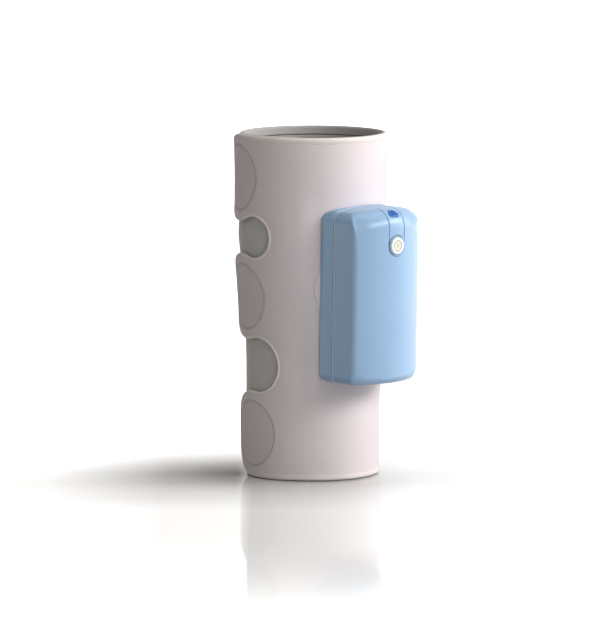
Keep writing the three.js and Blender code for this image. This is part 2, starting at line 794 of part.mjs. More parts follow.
function makeBoard() {
  let board = block(
    [-boardHalfWidth, boardHalfWidth],
    [boardFrontY, boardFrontY + boardThickness],
    [boardBottom, boardTop],
  );
  for (const [x, z] of boardScrewPlaces) {
    board = board.subtract(rodAlongY(boardScrewRadius + boreClearance, x, z, -pumpDepth, 0));
  }
  place(pump, 'circuit_board', board, 'board');

  const headY = boardBackY + gap;
  boardScrewPlaces.forEach(([x, z], i) => {
    const head = rodAlongY(boardScrewHead, x, z, headY, headY + 1, 16);
    const shank = rodAlongY(boardScrewRadius / 2 - 0.1, x, z, boardFrontY - 3, headY + 0.5, 12);
    place(pump, `board_screw_${i + 1}`, head.add(shank), 'steel');
  });

  const half = sensorSize / 2;
  const body = block(
    [sensorX - half, sensorX + half],
    [headY, headY + sensorDepth],
    [sensorHeight - half, sensorHeight + half],
  );
  place(pump, 'pressure_sensor', body, 'black');
}

function makeScrews() {
  screwPlaces.forEach(([x, z], i) => {
    const head = rodAlongY(screwHeadRadius, x, z, screwHeadY - screwHead, screwHeadY);
    const long = screwHeadRadius * 0.7;
    const short = screwSlot / 2;
    const slotDepth = [screwHeadY - screwHead / 2, screwHeadY + 1];
    const slot = block([x - long, x + long], slotDepth, [z - short, z + short]);
    const cross = block([x - short, x + short], slotDepth, [z - long, z + long]);
    const shank = rodAlongY(screwRadius, x, z, screwHeadY - screwLength, screwHeadY - screwHead / 2, 16);
    place(pump, `case_screw_${i + 1}`, head.add(shank).subtract(slot).subtract(cross), 'steel');
  });
}

function makeBattery() {
  const cellTop = cellBottom + cellLength;
  for (const [side, x] of [['left', -cellX], ['right', cellX]]) {
    place(pump, `battery_cell_${side}`, rodAlongZ(cellRadius, x, cellY, cellBottom, cellTop, 32), 'black');
    const reach = cellRadius + gap + trayWall;
    const tray = block(
      [x - reach, x + reach],
      [cellY - reach, trayBackY],
      [cellBottom - gap - trayWall, cellTop + gap + trayWall],
    );
    const bay = rodAlongZ(cellRadius + gap, x, cellY, cellBottom - gap, cellTop + gap, 32);
    const mouth = block(
      [x - cellRadius - gap, x + cellRadius + gap],
      [cellY, 0],
      [cellBottom - gap, cellTop + gap],
    );
    place(pump, `battery_tray_${side}`, tray.subtract(bay).subtract(mouth), 'white');
  }
}

function makeAirPump() {
  const motorTop = motorBottom + motorLength;
  const shaftHole = rodAlongZ(shaftRadius + boreClearance, 0, motorY, motorTop - 12, motorTop + 5, 16);
  const motor = rodAlongZ(motorRadius, 0, motorY, motorBottom, motorTop, 36);
  place(pump, 'pump_motor', motor.subtract(shaftHole), 'steel');

  const shaftBottom = motorTop - shaftLength;
  const discBottom = motorTop + gap + headWall + gap;
  const discTop = discBottom + eccentricHeight;
  const shaft = rodAlongZ(shaftRadius, 0, motorY, shaftBottom, discBottom + 1, 16);
  const disc = rodAlongZ(eccentricRadius, eccentricOffset, motorY, discBottom, discTop, 24);
  place(pump, 'motor_shaft', shaft.add(disc), 'steel');

  const headBottom = motorTop + gap;
  const headTop = headBottom + headHeight;
  let head = block(
    [-headHalfWidth, headHalfWidth],
    [motorY - headHalfWidth, motorY + headHalfWidth],
    [headBottom, headTop],
  );
  const chamberRadius = eccentricRadius + eccentricOffset + 2 * gap;
  head = head.subtract(rodAlongZ(chamberRadius, 0, motorY, headBottom + headWall, discTop + gap));
  const shaftWay = headBottom + headWall + 1;
  head = head.subtract(rodAlongZ(shaftRadius + boreClearance, 0, motorY, headBottom - 1, shaftWay, 16));
  head = head.add(rodAlongZ(nozzleRadius, 0, motorY, headTop - 1, headTop + nozzleLength, 20));
  head = head.subtract(rodAlongZ(nozzleRadius / 2, 0, motorY, discTop, headTop + nozzleLength + 1, 16));
  place(pump, 'pump_head', head, 'white');

  const hoseBottom = headTop + gap;
  const hoseTop = manifoldBottom - gap;
  const hose = rodAlongZ(nozzleRadius + gap + hoseWall, 0, motorY, hoseBottom, hoseTop, 20);
  const hoseBore = rodAlongZ(nozzleRadius + gap, 0, motorY, hoseBottom - 1, hoseTop + 1, 20);
  place(pump, 'air_hose', hose.subtract(hoseBore), 'rubber');
}

function makeManifold() {
  let body = block(
    [-manifoldHalfWidth, manifoldHalfWidth],
    [manifoldFrontY, manifoldBackY],
    [manifoldBottom, manifoldTop],
  );
  const socketEnd = -portLength - boreClearance;
  body = body.subtract(rodAlongY(portRadius + boreClearance, 0, portHeight, socketEnd, 0));
  body = body.subtract(rodAlongY(portBore, 0, portHeight, motorY, 0, 16));
  body = body.subtract(rodAlongZ(portBore, 0, motorY, manifoldBottom - 1, portHeight + portBore, 16));
  place(pump, 'air_manifold', body, 'white');

  const sealFront = manifoldBackY + gap;
  const sealBack = sealFront + sealThickness;
  const seal = rodAlongY(portRadius + 2 * boreClearance + 1.5, 0, portHeight, sealFront, sealBack);
  const sealBore = rodAlongY(portRadius + boreClearance, 0, portHeight, -pumpDepth, 0);
  place(pump, 'port_seal', seal.subtract(sealBore), 'rubber');
}

function makeValve() {
  const body = block(
    [valveX - valveHalfWidth, valveX + valveHalfWidth],
    [valveY - valveHalfWidth, valveY + valveHalfWidth],
    [valveBottom, valveTop],
  );
  const seatTop = valveTop + gap + plungerTravel;
  const plungerBottom = seatTop - plungerLength;
  const boreBottom = plungerBottom - gap - plungerTravel;
  const bore = rodAlongZ(plungerRadius + boreClearance, valveX, valveY, boreBottom, valveTop + 1, 20);
  place(pump, 'valve_body', body.subtract(bore), 'black');
  const stem = rodAlongZ(plungerRadius, valveX, valveY, plungerBottom, seatTop + plungerHead / 2, 20);
  const head = rodAlongZ(plungerHeadRadius, valveX, valveY, seatTop, seatTop + plungerHead, 20);
  place(pump, 'valve_plunger', stem.add(head), 'steel');
}

function makeCharging() {
  const bottom = -pumpHalfHeight + socketRecess;
  const top = bottom + socketLength;
  const shell = block(
    [-socketHalfWidth, socketHalfWidth],
    [socketY - socketHalfDepth, socketY + socketHalfDepth],
    [bottom, top],
  );
  const mouth = block(
    [-socketHalfWidth + socketShell, socketHalfWidth - socketShell],
    [socketY - socketHalfDepth + socketShell, socketY + socketHalfDepth - socketShell],
    [bottom - 1, top - socketFloor],
  );
  place(pump, 'charging_socket', shell.subtract(mouth), 'steel');
  const boardBack = socketY + socketHalfDepth + gap;
  const board = block(
    [-socketBoardHalfWidth, socketBoardHalfWidth],
    [boardBack, boardBack + socketBoardThickness],
    [-pumpHalfHeight + coverWall + gap, socketBoardTop],
  );
  place(pump, 'charging_board', board, 'board');
}

// The dock on the cuff, in the pump's frame but fixed to the cuff
const dock = new THREE.Group();
dock.applyMatrix4(pumpPlace);

function makeDock() {
  const plateGap = 2 * gap + patchFelt;
  const shell = wallBar(plateGap + dockPlate).subtract(wallBar(plateGap));
  const window = block([-dockHalfWidth, dockHalfWidth], [-pumpDepth, pumpDepth / 2], [dockBottom, dockTop]);
  let plate = shell.intersect(window);
  const ribFront = pocketFloorY + 2 * gap;
  for (const side of [-1, 1]) {
    const x0 = side * dockRibInner;
    const x1 = side * (dockRibInner + dockRibWidth);
    const rib = block(
      [Math.min(x0, x1), Math.max(x0, x1)],
      [ribFront, -dockPlate / 2],
      [dockBottom + dockRibWidth * 2, dockTop - dockRibWidth * 2],
    );
    plate = plate.add(rib);
  }
  plate = plate.subtract(rodAlongY(portFlangeRadius + boreClearance, 0, portHeight, -pumpDepth, pumpDepth));
  place(dock, 'dock_plate', plate, 'trim');

  const flange = rodAlongY(portFlangeRadius, 0, portHeight, -gap - patchFelt - dockPlate, -gap);
  const tube = rodAlongY(portRadius, 0, portHeight, -portLength, -gap);
  const stem = rodAlongY(portStemRadius, 0, portHeight, -gap - 0.5, wrapCloth);
  const bore = rodAlongY(portBore, 0, portHeight, -pumpDepth, pumpDepth, 16);
  place(dock, 'air_port', flange.add(tube).add(stem).subtract(bore), 'white');
}

makeFrontCover();
makeRearCase();
makeSeamGasket();
makeTongue();
makeButtonParts();
makeBoard();
makeScrews();
makeBattery();
makeAirPump();
makeManifold();
makeValve();
makeCharging();
makeDock();

// The whole device, standing on z = 0 with the middle of its box on the origin
const device = new THREE.Group();
device.add(cuff, pump, dock);
device.updateMatrixWorld(true);
const extent = new THREE.Box3().setFromObject(device, true);
device.position.set(
  -(extent.min.x + extent.max.x) / 2,
  -(extent.min.y + extent.max.y) / 2,
  -extent.min.z,
);
device.updateMatrixWorld(true);

export default device;
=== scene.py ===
import math

import bmesh
import bpy
import numpy as np
from mathutils import Matrix, Vector
from mathutils.bvhtree import BVHTree
from mathutils.geometry import delaunay_2d_cdt
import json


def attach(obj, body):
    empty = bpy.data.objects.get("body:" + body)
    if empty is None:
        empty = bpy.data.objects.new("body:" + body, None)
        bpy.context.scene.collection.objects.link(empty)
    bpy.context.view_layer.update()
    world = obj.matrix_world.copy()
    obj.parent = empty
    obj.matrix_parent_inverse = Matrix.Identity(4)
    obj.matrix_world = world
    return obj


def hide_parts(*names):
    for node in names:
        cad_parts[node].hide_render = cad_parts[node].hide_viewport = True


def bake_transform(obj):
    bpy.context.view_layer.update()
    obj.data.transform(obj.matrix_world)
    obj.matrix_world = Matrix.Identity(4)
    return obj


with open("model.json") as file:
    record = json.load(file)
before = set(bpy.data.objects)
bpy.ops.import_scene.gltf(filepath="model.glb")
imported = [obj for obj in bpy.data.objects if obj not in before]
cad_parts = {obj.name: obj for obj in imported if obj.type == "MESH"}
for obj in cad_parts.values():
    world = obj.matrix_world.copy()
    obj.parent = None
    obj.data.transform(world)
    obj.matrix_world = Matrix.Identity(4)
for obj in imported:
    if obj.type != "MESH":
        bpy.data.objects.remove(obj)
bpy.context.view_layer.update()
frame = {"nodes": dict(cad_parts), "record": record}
scene = bpy.context.scene
scene.view_settings.view_transform = "Standard"

# A soft cuff for the calf with a small air pump docked on its front. All is worked out in
# millimetres on the cuff's own axis, with the pump at angle 0 and angles in degrees growing
# towards -X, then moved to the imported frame.
MM = 0.001

# Cuff
CUFF_HEIGHT = 236.0
BOTTOM_RADIUS = 45.8
TOP_RADIUS = 50.4
WRAP_CLOTH = 1.4
BLADDER_FILM = 0.6
LINING_CLOTH = 0.9
GAP = 0.3
WALL = WRAP_CLOTH + GAP + BLADDER_FILM + GAP + LINING_CLOTH
FLAP_LIFT = 4.7
FLAP_RISE = 30.0
FLAP_START = 60.0
INNER_END = -302.0
FLAT_RADIUS = (BOTTOM_RADIUS + TOP_RADIUS) / 2 + FLAP_LIFT / 2
BINDING = 6.0
BLADDER_INSET = 14.0
BLADDER_END = 20.0
LINING_END = 65.0

# Closure tabs, from the upper to the lower, and the two notches between them
TAB_NAMES = ("upper", "middle", "lower")
TAB_RADIUS = 30.0
TAB_CLOTH = 2.2
TAB_ANGLES = (118.0, 112.0, 104.5)
TAB_HEIGHTS = (CUFF_HEIGHT - TAB_RADIUS, 124.5, TAB_RADIUS)
TAB_ROOT = 82.0
BEND_END = 99.0
NOTCH_FEET = (80.4, 75.6)
HOOK_RADIUS = 22.5
HOOK_FELT = 0.8

# How the cloth stands from its plain wall
RIM_BAND = 4.2
CUT_BAND = 2.1
BAND_RISE = 0.45
BODY_RISE = 0.22
WELD_DEPTH = 0.5
WELD_RIB = 1.9
BED_DEPTH = 0.22
FOOT_BAND = (7, 20)
WAIST = (72, 168)
TUCK_ANGLE = 134.0 - 360.0
TUCK_HEIGHT = 166.0
TUCK_RADIUS = 18.0

# Mounting patch, with the part of the wall that stays straight behind it and the pump
PATCH_HALF = (37.0, 26.5)
PATCH_Z = 132.6
PATCH_TOP = 1.0
PATCH_EDGE = 0.12
PATCH_SEAT = 0.03
SEAT_SIDES = (40, 56)
SEAT_TOP = (192, 208)
SEAT_BOTTOM = (48, 66)

# Pump housing, in a frame that leans with the cuff wall
PUMP_MIDDLE = 129.2
HALF_WIDTH = 31.0
HALF_HEIGHT = 60.0
DEPTH = 33.0
BACK_GAP = 1.35
FRONT_RADIUS = 54.0
TOP_CORNER = 6.5
BOTTOM_CORNER = 5.5
TOP_CROWN = 3.6
TOP_ROUNDING = 13.0
SIDE_ROUNDING = 2.2
BOTTOM_ROUNDING = 6.5
FACE_TOP_CORNER = 12.5
FACE_BOTTOM_CORNER = 7.0
COVER_WALL = 2.4
CASE_WALL = 2.2
LIP_WALL = 1.2
LIP_Y = -10.5
SEAM_Y = -2.0
BAND_THICKNESS = 1.3
BAND_INSET = 0.35
BAND_WIDTH = 2.3
COVER_BACK_Y = SEAM_Y - GAP - BAND_THICKNESS - GAP
BORE_ROOM = 0.35

# Button, and the strip that runs over the top to it
BUTTON_Z = 35.0
BUTTON_RADIUS = 6.0
BUTTON_PROUD = 0.9
BUTTON_DISH = 0.22
STEM_RADIUS = 2.4
STEM_BACK_Y = -29.3
MARK_RADIUS = 3.55
MARK_WIDTH = 0.42
MARK_DEPTH = 0.14
CHAMFER = 0.25
CHAMFER_DEPTH = 0.16
BEZEL_BORE = BUTTON_RADIUS + BORE_ROOM
BEZEL_RADIUS = BEZEL_BORE + 0.7
BEZEL_PROUD = 0.3
WELL_RADIUS = BEZEL_RADIUS + GAP
TONGUE_HALF = 7.0
TONGUE_DEPTH = 1.0
TONGUE_EDGE = 0.45
TONGUE_BACK_Y = -8.5
RECESS_DEPTH = TONGUE_DEPTH + GAP

# Light window, square to the rounding at the top front
LENS_HALF = (4.1, 3.1)
LENS_TURN = math.radians(41)
LENS_DOME = 0.5
LENS_DEPTH = 3.2
LENS_BORE = (-9.6, 6.0)

# Screws, and what the housing holds or goes round
SCREW_PLACES = [(x, z) for x in (-24.0, 24.0) for z in (-50.0, 50.0)]
SCREW_RADIUS = 1.1
SCREW_HEAD_RADIUS = 2.5
SCREW_HEAD = 1.6
SCREW_SINK = 2.2
SCREW_BORE_LENGTH = 15.0
BOSS_WALL = 1.8
BOARD_SCREWS = [(x, z) for x in (-16.0, 16.0) for z in (2.0, 46.0)]
BOARD_SCREW_RADIUS = 1.0
BOARD_FRONT_Y = -24.5
SOCKET_HALF = (4.5, 1.6)
SOCKET_Y = -13.0
SOCKET_SLOT_HEIGHT = 4.8
DOCK_HALF_WIDTH = 11.0
DOCK_HEIGHTS = (-16.0, 30.0)
DOCK_DEPTH = 3.4
POCKET_WALL = 1.6
POCKET_WALL_Y = -2.2
POCKET_CORNER = 1.2
PORT_Z = 12.0
PORT_RADIUS = 3.0
PORT_FLANGE_RADIUS = 5.5

# The cuff's axis. The mount on its foot rim lies behind it, in the middle of the wall
FOOT_RIM = np.array(frame["record"]["mounts"][0]["pos_m"]) / MM
AXIS = FOOT_RIM - [0, BOTTOM_RADIUS - WALL / 2, 0]


def ease(value, low, high):
    """0 up to low, 1 from high, and a smooth rise between them."""
    share = np.clip((value - low) / (high - low), 0.0, 1.0)
    return share * share * (3 - 2 * share)


def hump(value, middle, width):
    """A bell curve that is 1 at its middle."""
    return np.exp(-(((value - middle) / width) ** 2))


def rounded(depth, radius):
    """The rise of a rounded edge, from 0 at the edge to 1 at a depth of its radius."""
    return np.sqrt(1 - (1 - np.clip(depth / radius, 0, 1)) ** 2)


def full_turn(sides):
    return np.linspace(0, 2 * math.pi, sides + 1)[:-1]


# Camera at the photograph's angle
VIEW_AZIMUTH = math.radians(-44)
VIEW_HEIGHT = math.radians(7)
VIEW_DISTANCE = 3990.0
PIXELS_PER_MM = 1.45
PICTURE_HEIGHT = 629
CUFF_RIGHT_OF_MIDDLE = 13.0
CUFF_ABOVE_MIDDLE = 12.5
SENSOR_WIDTH = 36.0
CLIP_END = 50.0


def place_camera():
    """Looks past the cuff's middle, which lies some pixels off the middle of the picture."""
    flat = math.cos(VIEW_HEIGHT)
    back = Vector((math.sin(VIEW_AZIMUTH) * flat, -math.cos(VIEW_AZIMUTH) * flat, math.sin(VIEW_HEIGHT)))
    right = Vector((math.cos(VIEW_AZIMUTH), math.sin(VIEW_AZIMUTH), 0))
    up = back.cross(right)
    aside = right * (CUFF_RIGHT_OF_MIDDLE / PIXELS_PER_MM) + up * (CUFF_ABOVE_MIDDLE / PIXELS_PER_MM)
    target = Vector((0, 0, CUFF_HEIGHT / 2)) - aside
    spot = (target + back * VIEW_DISTANCE + Vector(AXIS)) * MM
    data = bpy.data.cameras.new("camera")
    data.sensor_width = SENSOR_WIDTH
    data.lens = PIXELS_PER_MM * VIEW_DISTANCE * SENSOR_WIDTH / PICTURE_HEIGHT
    data.clip_end = CLIP_END
    camera = bpy.data.objects.new("camera", data)
    camera.matrix_world = Matrix.Translation(spot) @ Matrix((right, up, back)).transposed().to_4x4()
    scene.collection.objects.link(camera)
    scene.camera = camera


place_camera()


# Finishes


class Value:
    """The output of a shader node. Sums and products of values add their Math nodes."""

    def __init__(self, finish, socket):
        self.finish = finish
        self.socket = socket

    def _maths(self, operation, first, second=None):
        sockets = {0: first} if second is None else {0: first, 1: second}
        return self.finish.node("ShaderNodeMath", {"operation": operation}, sockets)

    def __add__(self, other):
        return self._maths("ADD", self, other)

    def __sub__(self, other):
        return self._maths("SUBTRACT", self, other)

    def __rsub__(self, other):
        return self._maths("SUBTRACT", other, self)

    def __mul__(self, other):
        return self._maths("MULTIPLY", self, other)

    __radd__ = __add__

    def sine(self):
        return self._maths("SINE", self)


class Finish:
    """The nodes of a material, or of the world. node() adds any node and gives back its output."""

    def __init__(self, name, kind="materials"):
        self.owner = getattr(bpy.data, kind).new(name)
        self.owner.use_nodes = True
        self.tree = self.owner.node_tree
        self.tree.nodes.clear()

    def node(self, kind, settings, sockets, output=0):
        node = self.tree.nodes.new(kind)
        for key, setting in settings.items():
            setattr(node, key, setting)
        for key, given in sockets.items():
            if isinstance(given, Value):
                self.tree.links.new(given.socket, node.inputs[key])
            else:
                node.inputs[key].default_value = given
        return Value(self, node.outputs[output])

    def place(self):
        """Where a point is on the whole object, in millimetres."""
        place = self.node("ShaderNodeTexCoord", {}, {}, "Object")
        return self.node("ShaderNodeVectorMath", {"operation": "SCALE"}, {0: place, "Scale": 1 / MM})

    def cloth_place(self):
        """Where a point is on the unrolled cloth, in millimetres."""
        return self.node("ShaderNodeAttribute", {"attribute_name": "cloth_place"}, {}, "Vector")

    def mask(self, name):
        """A number from 0 to 1 that the mesh carries at its points."""
        return self.node("ShaderNodeAttribute", {"attribute_name": name}, {}, "Fac")

    def stretch(self, place, scale):
        return self.node("ShaderNodeVectorMath", {"operation": "MULTIPLY"}, {0: place, 1: scale})

    def waves(self, place, axis, pitch):
        """A sine along an axis, one wave to each pitch in millimetres."""
        along = self.node("ShaderNodeSeparateXYZ", {}, {0: place}, axis)
        return (along * (2 * math.pi / pitch)).sine()

    def noise(self, place, scale, detail=2.0, roughness=0.5):
        sockets = {"Vector": place, "Scale": scale, "Detail": detail, "Roughness": roughness}
        return self.node("ShaderNodeTexNoise", {}, sockets, "Fac")

    def mix(self, share, first, second):
        sockets = {0: share, 6: self.colour(first), 7: self.colour(second)}
        return self.node("ShaderNodeMix", {"data_type": "RGBA"}, sockets, 2)

    def colour(self, given):
        return given if isinstance(given, Value) else (*given, 1)

    def bump(self, height, strength, distance, normal=None):
        sockets = {"Height": height, "Strength": strength, "Distance": distance}
        if normal is not None:
            sockets["Normal"] = normal
        return self.node("ShaderNodeBump", {}, sockets)

    def surface(self, base, roughness, normal=None, **constants):
        sockets = {"Base Color": self.colour(base), "Roughness": roughness}
        if normal is not None:
            sockets["Normal"] = normal
        for key, given in constants.items():
            sockets[key.replace("_", " ")] = given
        self.show(self.node("ShaderNodeBsdfPrincipled", {}, sockets))
        return self.owner

    def show(self, shader, output="ShaderNodeOutputMaterial"):
        self.tree.links.new(shader.socket, self.tree.nodes.new(output).inputs["Surface"])


def cuff_cloth():
    """Fine brushed knit: warm white; bound edges warmer, smoother and lighter, partly a painted highlight;
    greyer where welded and on its inner face; painted darker grey for the shade under the outer end."""
    finish = Finish("cuff_cloth")
    place = finish.cloth_place()
    wide = finish.noise(finish.stretch(place, (0.022, 0.03, 0.02)), 1.0, 3.0)
    small = finish.noise(finish.stretch(place, (0.9, 0.6, 0.5)), 1.0, 4.0, 0.65)
    fibres = finish.noise(finish.stretch(place, (2.6, 1.1, 1.0)), 1.0, 3.0, 0.6)
    binding_and_highlight = finish.mask("binding_and_highlight")
    cloth = finish.mix(wide, (0.81, 0.735, 0.76), (0.87, 0.80, 0.82))
    cloth = finish.mix(small * 0.3, cloth, (0.76, 0.69, 0.71))
    # Painted shade: the inner end is coloured darker grey where the outer end lies over it.
    painted_landing_shade = finish.mix(small * 0.5, (0.675, 0.665, 0.65), (0.56, 0.555, 0.54))
    cloth = finish.mix(finish.mask("painted_landing_shade"), cloth, painted_landing_shade)
    # Bound edge colour: a warmer tone, made lighter partly as a painted highlight on its rolled edge.
    edge = finish.mix(small * 0.3, (0.92, 0.85, 0.805), (0.86, 0.785, 0.745))
    cloth = finish.mix(binding_and_highlight, cloth, edge)
    cloth = finish.mix(finish.mask("weld") * 0.6, cloth, (0.44, 0.415, 0.385))
    inside = finish.mix(small * 0.4, (0.50, 0.485, 0.475), (0.42, 0.405, 0.40))
    cloth = finish.mix(finish.mask("inside"), cloth, inside)
    roughness = 0.86 + small * 0.1 - binding_and_highlight * 0.12
    knit = finish.waves(place, "X", 1.1) * 0.5 + finish.waves(place, "Y", 0.8) * 0.5
    fine = finish.bump(knit * 0.35 + fibres, 0.22, 0.00022)
    soft = finish.bump(small, 0.25, 0.0005, fine)
    return finish.surface(cloth, roughness, soft, Sheen_Weight=0.25, Sheen_Roughness=0.45,
                          Specular_IOR_Level=0.25)


def lining_cloth():
    """Plain grey jersey with fine upright ribs."""
    finish = Finish("lining_cloth")
    place = finish.cloth_place()
    wide = finish.noise(finish.stretch(place, (0.03, 0.02, 0.02)), 1.0, 3.0)
    small = finish.noise(finish.stretch(place, (1.2, 0.5, 0.5)), 1.0, 4.0, 0.6)
    cloth = finish.mix(wide, (0.45, 0.44, 0.43), (0.50, 0.49, 0.48))
    cloth = finish.mix(small * 0.4, cloth, (0.38, 0.37, 0.365))
    ribs = finish.waves(place, "X", 1.5)
    normal = finish.bump(ribs * 0.4 + small, 0.3, 0.0003)
    return finish.surface(cloth, 0.9 + small * 0.08, normal, Sheen_Weight=0.2, Specular_IOR_Level=0.2)


def hook_felt():
    """Short looped pile."""
    finish = Finish("hook_felt")
    place = finish.cloth_place()
    sockets = {"Vector": place, "Scale": 1.1, "Randomness": 0.9}
    loops = finish.node("ShaderNodeTexVoronoi", {"feature": "F1"}, sockets, "Distance")
    wide = finish.noise(place, 0.08, 3.0)
    felt = finish.mix(wide, (0.87, 0.80, 0.80), (0.92, 0.86, 0.85))
    felt = finish.mix(loops * 0.3, felt, (0.68, 0.62, 0.61))
    normal = finish.bump(loops, 0.5, 0.0004)
    return finish.surface(felt, 0.93 - loops * 0.08, normal, Sheen_Weight=0.3, Specular_IOR_Level=0.2)


def bladder_film():
    """Milky plastic film with a faint embossed grain."""
    finish = Finish("bladder_film")
    place = finish.cloth_place()
    grain = finish.noise(finish.stretch(place, (1.5, 1.5, 1.0)), 1.0, 2.0)
    film = finish.mix(finish.noise(place, 0.05), (0.50, 0.53, 0.56), (0.58, 0.60, 0.62))
    film = finish.mix(finish.mask("weld"), film, (0.66, 0.68, 0.70))
    return finish.surface(film, 0.38 + grain * 0.15, finish.bump(grain, 0.2, 0.0002))


def housing_gloss():
    """Smooth glossy light blue plastic with a little waviness and fine scuffs."""
    finish = Finish("housing_gloss")
    place = finish.place()
    wave = finish.noise(place, 0.035, 2.0)
    specks = finish.noise(place, 2.2, 4.0, 0.7)
    scuffs = finish.noise(finish.stretch(place, (0.4, 0.4, 3.0)), 1.0, 5.0, 0.7)
    shade = finish.mix(wave, (0.29, 0.475, 0.715), (0.31, 0.495, 0.73))
    shade = finish.mix(specks * 0.12, shade, (0.35, 0.53, 0.74))
    roughness = 0.21 + wave * 0.04 + scuffs * 0.06
    normal = finish.bump(finish.noise(place, 0.6, 2.0), 0.05, 0.0002)
    return finish.surface(shade, roughness, normal, Specular_IOR_Level=0.5)


def trim_plastic():
    """Satin pale blue plastic."""
    finish = Finish("trim_plastic")
    place = finish.place()
    grain = finish.noise(place, 3.0, 3.0, 0.6)
    shade = finish.mix(finish.noise(place, 0.1), (0.58, 0.72, 0.86), (0.64, 0.76, 0.88))
    return finish.surface(shade, 0.36 + grain * 0.16, finish.bump(grain, 0.15, 0.0001))


def button_white():
    """White plastic, warmer inside the power mark, which is sunk and filled with warm grey."""
    finish = Finish("button_white")
    place = finish.place()
    grain = finish.noise(place, 2.5, 3.0)
    mark = finish.mask("mark")
    shade = finish.mix(grain * 0.3, (0.90, 0.91, 0.92), (0.85, 0.86, 0.875))
    shade = finish.mix(finish.mask("centre"), shade, (0.80, 0.77, 0.66))
    shade = finish.mix(mark, shade, (0.42, 0.39, 0.33))
    return finish.surface(shade, 0.24 + grain * 0.1 + mark * 0.2, finish.bump(grain, 0.05, 0.0001),
                          Coat_Weight=0.2, Coat_Roughness=0.15)


def lens_blue():
    """Deep blue window, painted darker in its middle for the shade of the well behind it, and lighter at its
    rim.
    """
    finish = Finish("lens_blue")
    place = finish.place()
    swirl = finish.noise(place, 0.25, 2.0)
    # Painted shade: the window is darkest in its middle and lighter towards its rim.
    shade = finish.mix(finish.mask("rim"), (0.012, 0.10, 0.40), (0.05, 0.22, 0.58))
    shade = finish.mix(swirl * 0.25, shade, (0.03, 0.15, 0.50))
    return finish.surface(shade, 0.12 + swirl * 0.05, Specular_IOR_Level=0.3)


def speckled(name, dark, light, roughness, scale):
    """Moulded plastic or rubber with a fine spark-eroded grain."""
    finish = Finish(name)
    place = finish.place()
    grain = finish.noise(place, scale, 4.0, 0.6)
    shade = finish.mix(finish.noise(place, 0.12, 3.0), dark, light)
    return finish.surface(shade, roughness - 0.06 + grain * 0.14, finish.bump(grain, 0.25, 0.0001))


def board_green():
    """Solder mask over copper tracks."""
    finish = Finish("board_green")
    place = finish.place()
    sockets = {"Vector": finish.stretch(place, (0.35, 0.35, 0.22)), "Scale": 1.0, "Mortar Size": 0.06}
    cells = finish.node("ShaderNodeTexBrick", {"offset": 0.5}, sockets, "Fac")
    stain = finish.noise(place, 0.3, 3.0)
    shade = finish.mix(stain, (0.012, 0.115, 0.052), (0.02, 0.16, 0.075))
    shade = finish.mix(cells * 0.6, shade, (0.05, 0.26, 0.12))
    return finish.surface(shade, 0.34 + stain * 0.12, finish.bump(cells, 0.3, 0.00006))


def cell_sleeve():
    """Shrink sleeve on the battery cells."""
    finish = Finish("cell_sleeve")
    place = finish.place()
    folds = finish.noise(finish.stretch(place, (0.5, 0.5, 0.06)), 1.0, 3.0)
    shade = finish.mix(folds, (0.035, 0.05, 0.075), (0.06, 0.08, 0.12))
    return finish.surface(shade, 0.28 + folds * 0.15, finish.bump(folds, 0.3, 0.0003))


def brushed_metal(name, tone, grain_scale):
    """Turned or drawn metal with fine lines and soft tarnish."""
    finish = Finish(name)
    place = finish.place()
    lines = finish.noise(finish.stretch(place, grain_scale), 1.0, 4.0, 0.7)
    tarnish = finish.noise(place, 0.25, 3.0)
    dull = tuple(0.72 * shade for shade in tone)
    shade = finish.mix(tarnish * 0.6, tone, dull)
    return finish.surface(shade, 0.22 + lines * 0.16 + tarnish * 0.1, finish.bump(lines, 0.12, 0.00005),
                          Metallic=1.0)


FINISHES = {
    "cuff_cloth": cuff_cloth(),
    "lining_cloth": lining_cloth(),
    "hook_felt": hook_felt(),
    "bladder_film": bladder_film(),
    "housing_gloss": housing_gloss(),
    "trim_plastic": trim_plastic(),
    "button_white": button_white(),
    "lens_blue": lens_blue(),
    "soft_rubber": speckled("soft_rubber", (0.22, 0.30, 0.38), (0.28, 0.36, 0.44), 0.62, 1.6),
    "board_green": board_green(),
    "black_plastic": speckled("black_plastic", (0.018, 0.02, 0.022), (0.03, 0.032, 0.035), 0.45, 2.5),
    "white_plastic": speckled("white_plastic", (0.74, 0.75, 0.73), (0.82, 0.83, 0.81), 0.42, 2.0),
    "cell_sleeve": cell_sleeve(),
    "motor_metal": brushed_metal("motor_metal", (0.62, 0.63, 0.65), (0.6, 0.6, 8.0)),
    "screw_steel": brushed_metal("screw_steel", (0.68, 0.68, 0.67), (4.0, 0.6, 4.0)),
}


# Meshes


def mesh_object(name, points, faces, finish, masks=None, cloth_place=None, loop_normals=None):
    """A smooth piece from points in millimetres on the cuff's axis, with masks for its finish, its places
    on the unrolled cloth and the normals of its face corners, where it has them."""
    mesh = bpy.data.meshes.new(name)
    mesh.from_pydata(((np.asarray(points) + AXIS) * MM).tolist(), [], [list(f) for f in faces])
    mesh.polygons.foreach_set("use_smooth", [True] * len(mesh.polygons))
    for key, values in (masks or {}).items():
        mesh.attributes.new(key, "FLOAT", "POINT").data.foreach_set("value", np.asarray(values, np.float32))
    if cloth_place is not None:
        layer = mesh.attributes.new("cloth_place", "FLOAT_VECTOR", "POINT")
        layer.data.foreach_set("vector", np.asarray(cloth_place, np.float32).ravel())
    mesh.update()
    if loop_normals is not None:
        mesh.normals_split_custom_set(loop_normals)
    mesh.materials.append(FINISHES[finish])
    piece = bpy.data.objects.new(name, mesh)
    scene.collection.objects.link(piece)
    return piece


def settle(piece, body, finish, *nodes):
    """Says what a piece rides on and the nodes that it stands for. The finish is not used."""
    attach(piece, body)
    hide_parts(*nodes)


